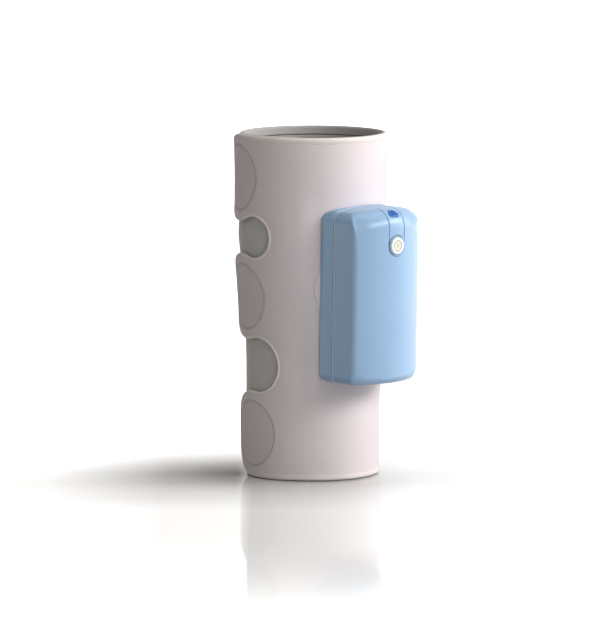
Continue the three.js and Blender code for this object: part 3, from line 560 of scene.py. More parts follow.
def face_outward(piece):
    """Turns the faces so that they all look outward."""
    shape = bmesh.new()
    shape.from_mesh(piece.data)
    bmesh.ops.recalc_face_normals(shape, faces=shape.faces)
    shape.to_mesh(piece.data)
    shape.free()


def triangulate(piece):
    shape = bmesh.new()
    shape.from_mesh(piece.data)
    bmesh.ops.triangulate(shape, faces=shape.faces)
    shape.to_mesh(piece.data)
    shape.free()


def grid_faces(columns, rows):
    index = np.arange(columns * rows).reshape(columns, rows)
    return np.stack([index[:-1, :-1], index[1:, :-1], index[1:, 1:], index[:-1, 1:]], -1).reshape(-1, 4)


def ring_band(start, other, sides):
    """Faces between two rings of points, which begin at the given points."""
    return [(start + i, start + (i + 1) % sides, other + (i + 1) % sides, other + i) for i in range(sides)]


def without_doubles(corners):
    return [corner for i, corner in enumerate(corners) if corner != corners[i - 1]]


def twins(on_edge):
    """The inner point under each outer point of a sheet. On its edge the two are one point."""
    index = np.arange(len(on_edge))
    return np.where(on_edge, index, index + len(index))


def inner_side(faces, twin):
    return [tuple(int(twin[i]) for i in reversed(face)) for face in faces]


def in_use(faces, count):
    """Faces renumbered for the points that they use, and those points."""
    used = np.unique(np.concatenate([np.array(face) for face in faces]))
    fresh = np.full(count, -1)
    fresh[used] = np.arange(len(used))
    return [tuple(int(fresh[i]) for i in face) for face in faces], used


INNER_PLACE = np.array([0.0, 0.0, 40.0])


def closed_sheet(name, outer, inner, faces, on_edge, finish, masks=None, place=None):
    """A thin piece whose outer and inner sides meet on its edge."""
    local, used = in_use(faces + inner_side(faces, twins(on_edge)), 2 * len(outer))
    masks = {key: np.tile(mask, 2)[used] for key, mask in (masks or {}).items()}
    if place is not None:
        place = np.concatenate([place, place + INNER_PLACE])[used]
    return mesh_object(name, np.concatenate([outer, inner])[used], local, finish, masks, place)


# Cuff cloth, laid out flat and rolled up


def wall_radius(z):
    return BOTTOM_RADIUS + (TOP_RADIUS - BOTTOM_RADIUS) * z / CUFF_HEIGHT


def flap_offset(angle):
    """The rise of the wrap over its own inner end."""
    share = np.clip((angle - FLAP_RISE) / (180 - FLAP_RISE), 0, None)
    return (FLAP_LIFT / 2) * (1 - np.cos(math.pi * share))


def layer_offset(angle):
    """How far the cloth lies outside the wall: over it, on it, and tucked under its own outer end."""
    tucked = np.minimum(0, flap_offset(angle + 360) - WALL - GAP)
    return np.where(angle > 0, flap_offset(angle), np.where(angle > -180, 0.0, tucked))


def seat_room(angle, z):
    """0 behind the pump and its patch, where the wall keeps its straight taper, 1 elsewhere."""
    around = np.abs((angle + 180) % 360 - 180)
    return np.maximum(ease(around, *SEAT_SIDES), np.maximum(ease(z, *SEAT_TOP), 1 - ease(z, *SEAT_BOTTOM)))


def wall_shape(angle, z):
    """The soft wall is fuller in its upper half and narrower below than a straight taper, and it
    ripples a little round the cuff and up it."""
    waisted = BOTTOM_RADIUS + (TOP_RADIUS - BOTTOM_RADIUS) * ease(z, *WAIST)
    round_it = 0.16 * np.sin(angle / 11 + 1.3 * np.sin(z / 37))
    up_it = 0.12 * np.sin(z / 23 + 1.7 * np.sin(angle / 29))
    return (waisted - wall_radius(z) + round_it + up_it) * seat_room(angle, z)


def cloth_point(angle, offset, z):
    """A point of the rolled cloth, an offset outside the wall's outer face."""
    radius = wall_radius(z) + wall_shape(angle, z) + layer_offset(angle) + offset
    turn = np.radians(angle)
    return np.stack([-radius * np.sin(turn), -radius * np.cos(turn), z + 0 * radius], -1)


def flat_x(angle):
    """Where an angle lies on the unrolled cloth."""
    return np.radians(angle) * FLAT_RADIUS


def angle_at(x):
    return np.degrees(x / FLAT_RADIUS)


TAB_CENTRES = np.array([(flat_x(angle), height) for angle, height in zip(TAB_ANGLES, TAB_HEIGHTS)])


def notch_between(above, below, foot_angle):
    """The circle that touches two tabs' round ends and whose foot is at the given angle."""
    middle = (above + below) / 2
    slope = (above[0] - below[0]) / (below[1] - above[1])
    foot = flat_x(foot_angle)
    reach = foot - above[0]
    drop = middle[1] - above[1] + slope * (foot - middle[0])
    linear = 2 * (TAB_RADIUS - reach - slope * drop)
    constant = reach ** 2 + drop ** 2 - TAB_RADIUS ** 2
    radius = 2 * constant / (linear + math.sqrt(linear ** 2 - 4 * slope ** 2 * constant))
    return np.array([foot + radius, above[1] + drop + slope * radius]), radius


NOTCHES = [notch_between(TAB_CENTRES[i], TAB_CENTRES[i + 1], foot) for i, foot in enumerate(NOTCH_FEET)]


def bearing(start, end):
    return math.atan2(end[1] - start[1], end[0] - start[0])


def tab_arc(index):
    """The two directions, seen from a tab's centre, between which its round end is free."""
    centre = TAB_CENTRES[index]
    low = bearing(centre, NOTCHES[index][0]) if index < 2 else -math.pi / 2
    high = bearing(centre, NOTCHES[index - 1][0]) if index > 0 else math.pi / 2
    return low, high


def tab_zone(z):
    """Which tab a height belongs to: 0 above the upper notch, 1 between the notches, 2 below."""
    return (z < NOTCHES[0][0][1]).astype(int) + (z < NOTCHES[1][0][1]).astype(int)


def edge_distance(x, z):
    """How far a point on the flat cloth is from the nearest cut or bound edge."""
    distance = x - flat_x(INNER_END)
    distance = np.where(x < TAB_CENTRES[0][0], np.minimum(distance, CUFF_HEIGHT - z), distance)
    distance = np.where(x < TAB_CENTRES[2][0], np.minimum(distance, z), distance)
    for index, centre in enumerate(TAB_CENTRES):
        low, high = tab_arc(index)
        direction = np.arctan2(z - centre[1], x - centre[0])
        free = (direction >= low - 1e-6) & (direction <= high + 1e-6) & (tab_zone(z) == index)
        reach = TAB_RADIUS - np.hypot(x - centre[0], z - centre[1])
        distance = np.where(free, np.minimum(distance, reach), distance)
    for centre, radius in NOTCHES:
        reach = np.hypot(x - centre[0], z - centre[1]) - radius
        distance = np.where(x > 0, np.minimum(distance, reach), distance)
    return distance


def weld_distance(x, z):
    """How far a point on the flat cloth is outside the nearest tab's welded ring."""
    return np.min([np.hypot(x - c[0], z - c[1]) for c in TAB_CENTRES], axis=0) - HOOK_RADIUS


def on_tabs(x):
    """1 on the tabs, 0 on the wrap behind them."""
    return ease(x, flat_x(FLAP_START), flat_x(FLAP_START + 6))


def above_foot(z, least):
    """1 on most of the cloth, and less next to the foot, which the cuff's weight presses flat."""
    return least + (1 - least) * ease(z, *FOOT_BAND)


def band_width(angle, z):
    """The bound edge is wide on the cuff's rims and narrow where the tabs are cut."""
    rim = 1 - ease(np.minimum(z, CUFF_HEIGHT - z), 12, 20)
    return CUT_BAND + (RIM_BAND - CUT_BAND) * rim * (1 - ease(angle, 84, 108))


def outer_relief(angle, x, z, edge):
    """How the outer face stands from the plain wall: bound edge, groove, soft body, welds, and a
    tuck of spare cloth where the inner end begins."""
    band = band_width(angle, z)
    bound = BAND_RISE * np.sin(np.pi * np.clip(edge / band, 0, 1)) - 0.1 * hump(edge, band + 0.3, 0.6)
    body = BODY_RISE * ease(edge, band + 0.4, band + 9)
    ring = weld_distance(x, z)
    ribs = 0.14 * hump(ring, WELD_RIB, 1.0) + 0.1 * hump(ring, -WELD_RIB, 1.0)
    weld = ribs - WELD_DEPTH * hump(ring, 0, 0.75) - BED_DEPTH * (1 - ease(ring, -3, 0))
    tuck = 1 - np.hypot(x - flat_x(TUCK_ANGLE), z - TUCK_HEIGHT) / TUCK_RADIUS
    return bound * above_foot(z, 0.3) + body + weld * on_tabs(x) + ease(tuck, 0, 1) * (angle < -180)


def body_depth(angle):
    """The wrap's whole thickness: three layers at the cuff, one laminate at the tabs."""
    return WALL + (TAB_CLOTH - WALL) * ease(angle, 58, 76)


def sheet_offsets(angle, x, z):
    """Outward offsets of the outer and the inner face, which meet in a rounded edge, and how far
    each point is from that edge. Behind the bound edge the wrap's cloth is hollow for its lining."""
    edge = edge_distance(x, z)
    thick = body_depth(angle)
    roll = rounded(edge, thick / 2)
    outer = -thick / 2 * (1 - roll) + roll * outer_relief(angle, x, z, edge)
    hollow = (thick - WRAP_CLOTH) * ease(edge, BINDING, BINDING + 0.35) * (1 - ease(angle, 66, 74))
    inner = -thick / 2 * (1 + roll) + hollow
    return edge, outer, inner


# Rows of points follow an edge at these distances from it, close together on its rounding
EDGE_STEPS = np.array([0, 0.05, 0.2, 0.45, 0.8, 1.25, 1.75, 2.05, 2.35, 2.65, 3.0, 3.5, 4.0, 4.3,
                       4.6, 4.9, 5.3, 5.98, 6.2, 6.4, 7.0])
EDGE_RUN = EDGE_STEPS[-1]
UPRIGHT_ROWS = 55
WRAP_COLUMNS = 181


def upright_rows():
    middle = np.linspace(EDGE_RUN, CUFF_HEIGHT - EDGE_RUN, UPRIGHT_ROWS + 2)[1:-1]
    return np.concatenate([EDGE_STEPS, middle, CUFF_HEIGHT - EDGE_STEPS[::-1]])


def free_outline():
    """The outline of the flap's free end, from the top rim round the tabs to the bottom rim, and the
    directions that point into the cloth."""
    start, root = flat_x(FLAP_START), flat_x(TAB_ROOT)
    pieces = []

    def along(first, last, height, down):
        count = max(2, round(abs(last - first) / 2.5) + 1)
        xs = np.linspace(first, last, count)[:-1]
        pieces.append((np.stack([xs, 0 * xs + height], -1), np.tile([0, down], (len(xs), 1))))

    def arc(centre, radius, first, last, inward):
        count = max(3, round(abs(last - first) * radius / 1.6) + 1)
        turns = np.linspace(first, last, count)[:-1]
        outward = np.stack([np.cos(turns), np.sin(turns)], -1)
        pieces.append((centre + radius * outward, inward * outward))

    along(start, root, CUFF_HEIGHT, -1)
    along(root, TAB_CENTRES[0][0], CUFF_HEIGHT, -1)
    for index, centre in enumerate(TAB_CENTRES):
        low, high = tab_arc(index)
        arc(centre, TAB_RADIUS, high, low, -1)
        if index < 2:
            notch, radius = NOTCHES[index]
            cross = math.acos((root - notch[0]) / radius)
            above = bearing(notch, centre) % (2 * math.pi)
            below = bearing(notch, TAB_CENTRES[index + 1]) % (2 * math.pi)
            corners = (above, cross, 2 * math.pi - cross, below)
            for first, last in zip(corners, corners[1:]):
                arc(notch, radius, first, last, 1)
    along(TAB_CENTRES[2][0], root, 0.0, 1)
    along(root, start, 0.0, 1)
    points, inward = zip(*pieces)
    return np.concatenate(points), np.concatenate(inward)


def root_line():
    """Heights on the line where the tabs begin, close together near each edge, one list a tab."""
    root = flat_x(TAB_ROOT)

    def near_notch(index, side):
        notch, radius = NOTCHES[index]
        return notch[1] + side * np.sqrt((radius + EDGE_STEPS) ** 2 - (root - notch[0]) ** 2)

    uppers = (CUFF_HEIGHT - EDGE_STEPS, near_notch(0, -1), near_notch(1, -1))
    lowers = (near_notch(0, 1), near_notch(1, 1), EDGE_STEPS)
    stretches = []
    for upper, lower in zip(uppers, lowers):
        high, low = upper.min(), lower.max()
        middle = np.linspace(high, low, max(3, round((high - low) / 1.3)))[1:-1]
        stretches.append(np.concatenate([upper, middle, lower[::-1]]))
    return stretches


def flap_spots(outline, inward):
    """Loose points on the flap: rows along its edges, rings along the welds, and a spread between them."""
    start, root = flat_x(FLAP_START), flat_x(TAB_ROOT)
    pitch = 3.4
    spots = [outline + inward * step for step in EDGE_STEPS[1:]]
    turns = full_turn(110)
    for centre in TAB_CENTRES:
        for step in (-3.4, -2.4, -1.6, -1.0, -0.5, 0.0, 0.5, 1.0, 1.6, 2.4, 3.4):
            ring = centre + (HOOK_RADIUS + step) * np.stack([np.cos(turns), np.sin(turns)], -1)
            spots.append(ring[edge_distance(*ring.T) > EDGE_RUN + 0.5])
    xs, zs = np.meshgrid(np.arange(start + 3, flat_x(158), pitch), np.arange(3.0, CUFF_HEIGHT, pitch))
    xs = xs + (np.arange(len(xs)) % 2 * pitch / 2)[:, None]
    spread = np.stack([xs.ravel(), zs.ravel()], -1)
    clear = (edge_distance(*spread.T) > EDGE_RUN + 1.6) & (np.abs(weld_distance(*spread.T)) > 4.8)
    spots = np.concatenate(spots + [spread[clear]])
    keep = (np.abs(spots[:, 0] - root) > 0.8) & (spots[:, 0] > start + 1.2)
    keep &= edge_distance(*spots.T) > EDGE_STEPS[1] * 0.9
    return spots[keep]


def flap_layout():
    """Triangles over the flap's flat shape. Its outline and the tabs' root line are kept as edges."""
    outline, inward = free_outline()
    start, root = flat_x(FLAP_START), flat_x(TAB_ROOT)
    rows = upright_rows()
    left = np.stack([0 * rows + start, rows], -1)[1:-1]
    stretches = [np.stack([0 * heights + root, heights], -1) for heights in root_line()]
    points = np.concatenate([outline, left, *stretches, flap_spots(outline, inward), [[start, 0.0]]])
    count, begin = len(outline), len(outline) + len(left)
    chain = [*range(count), len(points) - 1, *range(count, begin)]
    edges = list(zip(chain, chain[1:] + chain[:1]))
    for line in stretches:
        edges += [(begin + i, begin + i + 1) for i in range(len(line) - 1)]
        begin += len(line)
    found = delaunay_2d_cdt([Vector(p) for p in points], edges, [], 0, 1e-4, False)
    flat = np.array([tuple(p) for p in found[0]])
    triangles = np.array([f for f in found[2] if len(f) == 3])
    middles = flat[triangles].mean(1)
    inside = (edge_distance(*middles.T) > 1e-3) & (middles[:, 0] > start)
    return flat, triangles[inside]


def wrap_layout():
    """Flat points and faces of the whole wrap, with its three tabs."""
    rows = upright_rows()
    first = INNER_END + angle_at(EDGE_STEPS)
    angles = np.concatenate([first, np.linspace(first[-1], FLAP_START, WRAP_COLUMNS + 1)[1:]])
    grid = np.stack(np.meshgrid(flat_x(angles), rows, indexing="ij"), -1).reshape(-1, 2)
    flap, triangles = flap_layout()
    points = np.concatenate([grid, flap])
    faces = grid_faces(len(angles), len(rows)).tolist() + (triangles + len(grid)).tolist()
    _, places, merged = np.unique(np.round(points, 4), axis=0, return_index=True, return_inverse=True)
    merged = merged.ravel()
    faces = [without_doubles([int(merged[i]) for i in face]) for face in faces]
    return points[places], [face for face in faces if len(face) > 2]


def vertex_normals(points, faces):
    """Area-weighted normals."""
    normals = np.zeros_like(points)
    for size in (3, 4):
        chosen = np.array([face for face in faces if len(face) == size])
        corners = points[chosen]
        if size == 3:
            across = np.cross(corners[:, 1] - corners[:, 0], corners[:, 2] - corners[:, 0])
        else:
            across = np.cross(corners[:, 2] - corners[:, 0], corners[:, 3] - corners[:, 1])
        for i in range(size):
            np.add.at(normals, chosen[:, i], across)
    return normals / np.maximum(np.linalg.norm(normals, axis=1, keepdims=True), 1e-12)


def cloth_masks(angle, x, z, edge):
    """Where the outer cloth is bound (partly a painted highlight), welded, painted with shade where the outer
    end lands on it, or turned inside.
    """
    band = band_width(angle, z)
    ring = weld_distance(x, z)
    # Bound edge: real binding, whose lighter tone is partly a painted highlight on the rolled edge.
    binding_and_highlight = (1 - ease(edge, band - 0.9, band + 1.0)) * above_foot(z, 0.4)
    weld = on_tabs(x) * (hump(ring, 0, 0.9) + 0.22 * (1 - ease(ring, -1.6, -0.4)))
    weld = weld + 0.1 * hump(edge, band + 0.4, 0.45)
    # Painted shade under the outer end, where it lands on the inner end.
    painted_landing_shade = (1 - ease(angle, -244, -231)) * (1 - binding_and_highlight)
    return {"binding_and_highlight": np.tile(binding_and_highlight, 2), "weld": np.tile(weld, 2),
            "painted_landing_shade": np.concatenate([painted_landing_shade, 0 * x]),
            "inside": np.concatenate([1 - ease(edge, 0.0, 0.4), 1 + 0 * x])}


def make_cloth():
    """The wrap and its tabs are one cloth: shaped together, then parted on the tabs' root line."""
    flat, faces = wrap_layout()
    x, z = flat.T
    angle = angle_at(x)
    edge, outer, inner = sheet_offsets(angle, x, z)
    points = np.concatenate([cloth_point(angle, outer, z), cloth_point(angle, inner, z)])
    on_edge = edge < 1e-3
    twin = twins(on_edge)
    faces = [outward_first(face, flat) for face in faces]
    backs = inner_side(faces, twin)
    normals = vertex_normals(points, faces + backs)
    masks = cloth_masks(angle, x, z, edge)
    place = np.stack([x, z, 0 * x], -1)
    places = np.concatenate([place, place + INNER_PLACE])
    middles = np.array([flat[list(face)].mean(0) for face in faces])
    owner = np.where(middles[:, 0] < flat_x(TAB_ROOT), -1, tab_zone(middles[:, 1]))
    pieces = []
    for label, name in enumerate(["wrap_cloth", *(f"tab_cloth_{tab}" for tab in TAB_NAMES)], -1):
        own = [faces[i] for i in np.flatnonzero(owner == label)]
        own_backs = [backs[i] for i in np.flatnonzero(owner == label)]
        caps = end_caps(own, twin, on_edge)
        pieces.append(parted(name, points, own + own_backs, caps, normals, masks, places))
    return pieces


def outward_first(face, flat):
    """Turns a flat face so that its rolled-up normal points away from the cuff's axis."""
    a, b, c = (flat[i] for i in face[:3])
    turned = (b[0] - a[0]) * (c[1] - a[1]) - (b[1] - a[1]) * (c[0] - a[0])
    return tuple(face) if turned < 0 else tuple(reversed(face))


def end_caps(own, twin, on_edge):
    """Faces that close a piece of cloth where it was parted from its neighbour."""
    sides = dict.fromkeys(side for face in own for side in zip(face, face[1:] + face[:1]))
    caps = []
    for a, b in sides:
        if (b, a) not in sides and not (on_edge[a] and on_edge[b]):
            caps.append(tuple(without_doubles([b, a, int(twin[a]), int(twin[b])])))
    return caps


def parted(name, points, faces, caps, normals, masks, places):
    """One piece of the cloth. It keeps the whole cloth's shading, and its caps are flat."""
    local, used = in_use(faces + caps, len(points))
    corners = [normals[i] for face in faces for i in face]
    for cap in caps:
        a, b, c = (points[i] for i in cap[:3])
        flat_normal = np.cross(b - a, c - a)
        corners += [flat_normal / max(np.linalg.norm(flat_normal), 1e-12)] * len(cap)
    masks = {key: mask[used] for key, mask in masks.items()}
    return mesh_object(name, points[used], local, "cuff_cloth", masks, places[used],
                       [tuple(normal) for normal in corners])


def bend_points(height):
    """The two ends of the stretch over which a tab's cloth turns as it peels."""
    root = cloth_point(np.array([TAB_ROOT]), np.zeros(1), np.array([height]))[0]
    turn = math.radians(TAB_ROOT)
    tangent = np.array([-math.cos(turn), math.sin(turn), 0.0])
    run = math.radians(BEND_END - TAB_ROOT) * FLAT_RADIUS
    return tuple((root + AXIS) * MM), tuple((root + AXIS + tangent * run) * MM)


def pad_layout(middle, half, shares, sides):
    """A round pad on the flat cloth: its middle, then a ring at each share of its half sizes."""
    share, turn = np.meshgrid(shares, full_turn(sides), indexing="ij")
    x = np.append(middle[0], (middle[0] + half[0] * share * np.cos(turn)).ravel())
    z = np.append(middle[1], (middle[1] + half[1] * share * np.sin(turn)).ravel())
    return x, z, np.append(0.0, share.ravel())


def make_pad(name, x, z, outer, inner, sides):
    """A closed felt pad over such a layout, with a wall round its rim."""
    count = len(x)
    faces = [(0, 1 + (i + 1) % sides, 1 + i) for i in range(sides)]
    for start in range(1, count - sides, sides):
        faces += ring_band(start, start + sides, sides)
    backs = [tuple(i + count for i in reversed(face)) for face in faces]
    rim = ring_band(count - sides, 2 * count - sides, sides)
    place = np.tile(np.stack([x, z, 0 * x], -1), (2, 1))
    piece = mesh_object(name, np.concatenate([outer, inner]), faces + backs + rim, "hook_felt", None, place)
    face_outward(piece)
    return piece


def hook_disc(index):
    """A felt disc on the inner face of a tab, domed a little and rounded at its edge."""
    sides = 72
    middle_radii = np.linspace(0.0, HOOK_RADIUS - 1.1, 12)[1:]
    radii = np.append(middle_radii, HOOK_RADIUS - np.array([0.7, 0.4, 0.2, 0.08, 0.02]))
    x, z, share = pad_layout(TAB_CENTRES[index], (HOOK_RADIUS, HOOK_RADIUS), radii / HOOK_RADIUS, sides)
    half = HOOK_FELT / 2
    roll = rounded((1 - share) * HOOK_RADIUS, half)
    pile = 0.05 * np.sin(x * 1.9) * np.sin(z * 1.7) - 0.05
    middle = -(TAB_CLOTH + GAP + half)
    outer = cloth_point(angle_at(x), middle + roll * half, z)
    inner = cloth_point(angle_at(x), middle - roll * (half + pile), z)
    return make_pad(f"hook_disc_{TAB_NAMES[index]}", x, z, outer, inner, sides)


wrap, *tabs = make_cloth()
settle(wrap, "cuff", "cuff_cloth", "cuff_outer_wrap")

for index, name in enumerate(TAB_NAMES):
    start, end = bend_points(TAB_HEIGHTS[index])
    pieces = ((tabs[index], f"closure_tab_{name}", "cuff_cloth"),
              (hook_disc(index), f"hook_patch_{name}", "hook_felt"))
    for piece, node, slot in pieces:
        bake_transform(piece)
        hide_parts(node)


def rolled_layer(name, ends, low, depth, thickness, finish, weld=0.0):
    """A thin layer of the wall between two angles, as far from the top rim as from the foot, with
    soft edges and a weld line near them."""
    steps = np.array([0, 0.04, 0.14, 0.3, 0.5, 0.8, 1.4, 2.4])
    first, last = ends
    high = CUFF_HEIGHT - low
    inset = angle_at(steps)
    rows = np.concatenate([low + steps, np.linspace(low + steps[-1], high - steps[-1], 50)[1:-1],
                           high - steps[::-1]])
    angles = np.concatenate([first + inset, np.linspace(first + inset[-1], last - inset[-1], 150)[1:-1],
                             last - inset[::-1]])
    angle, z = (v.ravel() for v in np.meshgrid(angles, rows, indexing="ij"))
    x = flat_x(angle)
    edge = np.minimum(np.minimum(z - low, high - z), flat_x(np.minimum(angle - first, last - angle)))
    half = thickness / 2
    swell = rounded(edge, half) * (half - weld * hump(edge, 5.0, 1.2))
    outer = cloth_point(angle, swell - (depth + half), z)
    inner = cloth_point(angle, -swell - (depth + half), z)
    faces = grid_faces(len(angles), len(rows)).tolist()
    faces = [outward_first(face, np.stack([x, z], -1)) for face in faces]
    return closed_sheet(name, outer, inner, faces, edge < 1e-6, finish,
                        {"weld": hump(edge, 5.0, 1.6)}, np.stack([x, z, 0 * x], -1))


lining = rolled_layer("lining", (INNER_END + 0.4, LINING_END), BINDING + 0.45, WALL - LINING_CLOTH,
                      LINING_CLOTH, "lining_cloth")
settle(lining, "cuff", "lining_cloth", "cuff_inner_lining")

bladder = rolled_layer("bladder", (INNER_END + 5, BLADDER_END), BLADDER_INSET, WRAP_CLOTH + GAP,
                       BLADDER_FILM, "bladder_film", weld=0.12)
settle(bladder, "cuff", "bladder_film", "air_bladder")


# Pump housing, in its own frame

# The sides of the pump's corners in front view, from the top at +X, against the clock
QUARTERS = np.array([(1, 1), (-1, 1), (-1, -1), (1, -1)])
# How many faces lie between one corner and the next
RUN_STEPS = (26, 24, 26, 24)
# The height over which the crown of the top fades out
CROWN_RUN = 30.0
LEAN = math.atan((TOP_RADIUS - BOTTOM_RADIUS) / CUFF_HEIGHT)
WALL_AT_PUMP = wall_radius(PUMP_MIDDLE)


def on_pump(points):
    """From the pump's own frame to the cuff's."""
    x, y, z = np.moveaxis(np.asarray(points, float), -1, 0)
    leaned_y = y * math.cos(LEAN) - z * math.sin(LEAN) - WALL_AT_PUMP
    leaned_z = y * math.sin(LEAN) + z * math.cos(LEAN) + PUMP_MIDDLE
    return np.stack([x, leaned_y, leaned_z], -1)


def housing_outline(inset=0.0):
    """The front view outline pulled in by an inset, where the rounding brings each of its
    points to on the front face, and its outward directions."""
    top = (TOP_CORNER, TOP_ROUNDING, FACE_TOP_CORNER)
    bottom = (BOTTOM_CORNER, BOTTOM_ROUNDING, FACE_BOTTOM_CORNER)
    edges, faces, ways = [], [], []
    for quarter, (side, sizes) in enumerate(zip(QUARTERS, (top, top, bottom, bottom))):
        corner, upright, face_corner = sizes
        turn = np.radians(90 * quarter + np.linspace(0, 90, 17))
        way = np.stack([np.cos(turn), np.sin(turn)], -1)
        face_half = np.array([HALF_WIDTH - SIDE_ROUNDING, HALF_HEIGHT - upright])
        edges.append(side * (np.array([HALF_WIDTH, HALF_HEIGHT]) - corner) + (corner - inset) * way)
        faces.append(side * (face_half - face_corner) + face_corner * way)
        ways.append(way)

    def around(arcs):
        points = []
        for quarter, steps in enumerate(RUN_STEPS):
            share = np.linspace(0, 1, steps + 1)[1:-1, None]
            run = arcs[quarter][-1] * (1 - share) + arcs[(quarter + 1) % 4][0] * share
            points += [arcs[quarter], run]
        return np.concatenate(points)

    edge, face, way = around(edges), around(faces), around(ways)
    way /= np.linalg.norm(way, axis=1, keepdims=True)
    face_top = HALF_HEIGHT - TOP_ROUNDING - FACE_TOP_CORNER
    for points, top_z in ((edge, HALF_HEIGHT - TOP_CORNER), (face, face_top)):
        drop = TOP_CROWN * (points[:, 0] / HALF_WIDTH) ** 2
        points[:, 1] -= ease(points[:, 1], top_z - CROWN_RUN, top_z) * drop
    return edge, face, way


def front_y(x, inset):
    """The crowned front face, pulled in by an inset."""
    radius = FRONT_RADIUS - inset
    return -DEPTH + inset + radius - np.sqrt(radius ** 2 - x ** 2)


def back_y(x, offset):
    """The face that lies against the cuff, an offset away from its wall."""
    return WALL_AT_PUMP - np.sqrt((WALL_AT_PUMP + offset) ** 2 - x ** 2)


def ring_at(points, y):
    """Front view points set at a depth."""
    return np.stack([points[:, 0], y + 0 * points[:, 0], points[:, 1]], -1)


def front_rings(inset, wall_y):
    """Rings from a wall's back edge, over the rounding, to the middle of the crowned front."""
    edge, face, ways = housing_outline(inset)
    upright = np.where(ways[:, 1] > 0, TOP_ROUNDING, BOTTOM_ROUNDING)
    radius = SIDE_ROUNDING * ways[:, 0] ** 2 + upright * ways[:, 1] ** 2 - inset
    front = front_y(edge[:, 0], inset) + radius
    rings = [ring_at(edge, wall_y + (front - wall_y) * share) for share in (0, 0.06, 0.3, 0.55, 0.8)]
    for turn in np.linspace(0, math.pi / 2, 15):
        place = edge + (face - edge) * (1 - math.cos(turn))
        rings.append(ring_at(place, front_y(place[:, 0], inset) + radius * (1 - math.sin(turn))))
    for share in (0.94, 0.86, 0.76, 0.66, 0.56, 0.46, 0.36, 0.26, 0.16, 0.07):
        rings.append(ring_at(face * share, front_y(face[:, 0] * share, inset)))
    return rings


def tube(rings, first_middle, last_middle, closed):
    """Points and faces through rings, with a fan over each end that has a middle."""
    size = len(rings[0])
    last = (len(rings) - 1) * size
    points = np.concatenate(rings)
    faces = []
    for start in range(0, last, size):
        faces += ring_band(start, start + size, size)
    if closed:
        faces += ring_band(last, 0, size)
    for middle, start, step in ((first_middle, 0, -1), (last_middle, last, 1)):
        if middle is not None:
            points = np.concatenate([points, [middle]])
            pairs = [(start + i, start + (i + 1) % size) for i in range(size)]
            faces += [(*pair[::step], len(points) - 1) for pair in pairs]
    return points, faces


def pump_mesh(name, rings, finish, first_middle=None, last_middle=None, masks=None, closed=False):
    """A piece through rings in the pump's own frame."""
    points, faces = tube(rings, first_middle, last_middle, closed)
    piece = mesh_object(name, on_pump(points), faces, finish, masks)
    face_outward(piece)
    return piece


def column(outline, middle, y_range):
    """A closed bar of a front view outline along the pump's depth, to cut or join with."""
    ends = [(middle[0], y, middle[1]) for y in y_range]
    return pump_mesh("tool", [ring_at(outline, y) for y in y_range], "housing_gloss", *ends)


def combine(piece, operation, cutters):
    """Cuts or joins with other closed shapes, which are used up."""
    for cutter in cutters:
        modifier = piece.modifiers.new("combine", "BOOLEAN")
        modifier.operation = operation
        modifier.solver = "EXACT"
        modifier.object = cutter
    graph = bpy.context.evaluated_depsgraph_get()
    made = bpy.data.meshes.new_from_object(piece.evaluated_get(graph))
    piece.modifiers.clear()
    piece.data = made
    for cutter in cutters:
        bpy.data.objects.remove(cutter)


# A face is of the old skin if it is this near to it, in metres, and looks the same way
NEAR_SKIN = 2e-6
SAME_WAY = 0.98
SHARP_ANGLE = math.radians(32)


class Skin:
    """A smooth surface of triangles remembered before it is cut, so that what is left keeps its
    shading."""

    def __init__(self, piece):
        mesh = piece.data
        self.corners = [tuple(p.vertices) for p in mesh.polygons]
        self.places = [v.co.copy() for v in mesh.vertices]
        self.normals = [v.normal.copy() for v in mesh.vertices]
        self.tree = BVHTree.FromPolygons(self.places, self.corners)

    def normal_at(self, place):
        """The normal at the nearest spot, mixed from its triangle's corners."""
        spot, _, index, _ = self.tree.find_nearest(place)
        a, b, c = (self.places[i] for i in self.corners[index])
        area = (b - a).cross(c - a)
        whole = area.length_squared
        if whole == 0:
            return None
        second = (spot - a).cross(c - a).dot(area) / whole
        third = (b - a).cross(spot - a).dot(area) / whole
        first_normal, second_normal, third_normal = (self.normals[i] for i in self.corners[index])
        mixed = first_normal * (1 - second - third) + second_normal * second + third_normal * third
        return mixed.normalized()

    def keep(self, piece):
        """Shades what is left of the skin as before, and sharpens the new edges."""
        mesh = piece.data
        mesh.polygons.foreach_set("use_smooth", [True] * len(mesh.polygons))
        mesh.set_sharp_from_angle(angle=SHARP_ANGLE)
        normals = [Vector(n.vector) for n in mesh.corner_normals]
        for face in mesh.polygons:
            _, normal, _, far = self.tree.find_nearest(face.center)
            if far > NEAR_SKIN or normal.dot(face.normal) < SAME_WAY:
                continue
            for loop in face.loop_indices:
                kept = self.normal_at(mesh.vertices[mesh.loops[loop].vertex_index].co)
                normals[loop] = kept or normals[loop]
        mesh.normals_split_custom_set([tuple(n) for n in normals])


def rod(radius, x, z, y0, y1, sides=48):
    """A round bar along the pump's depth."""
    turn = full_turn(sides)
    circle = np.stack([x + radius * np.cos(turn), z + radius * np.sin(turn)], -1)
    return column(circle, (x, z), (y0, y1))


def block(x_range, y_range, z_range, corner=0.0):
    """A box along the pump's depth, with rounded corners in front view."""
    half = np.array([x_range[1] - x_range[0], z_range[1] - z_range[0]]) / 2
    middle = np.array([x_range[1] + x_range[0], z_range[1] + z_range[0]]) / 2
    outline = []
    for quarter, side in enumerate(QUARTERS):
        for share in np.linspace(0, 1, 9) if corner else (0,):
            turn = math.pi / 2 * (quarter + share)
            way = np.array([math.cos(turn), math.sin(turn)])
            outline.append(middle + side * (half - corner) + corner * way)
    return column(np.array(outline), middle, y_range)


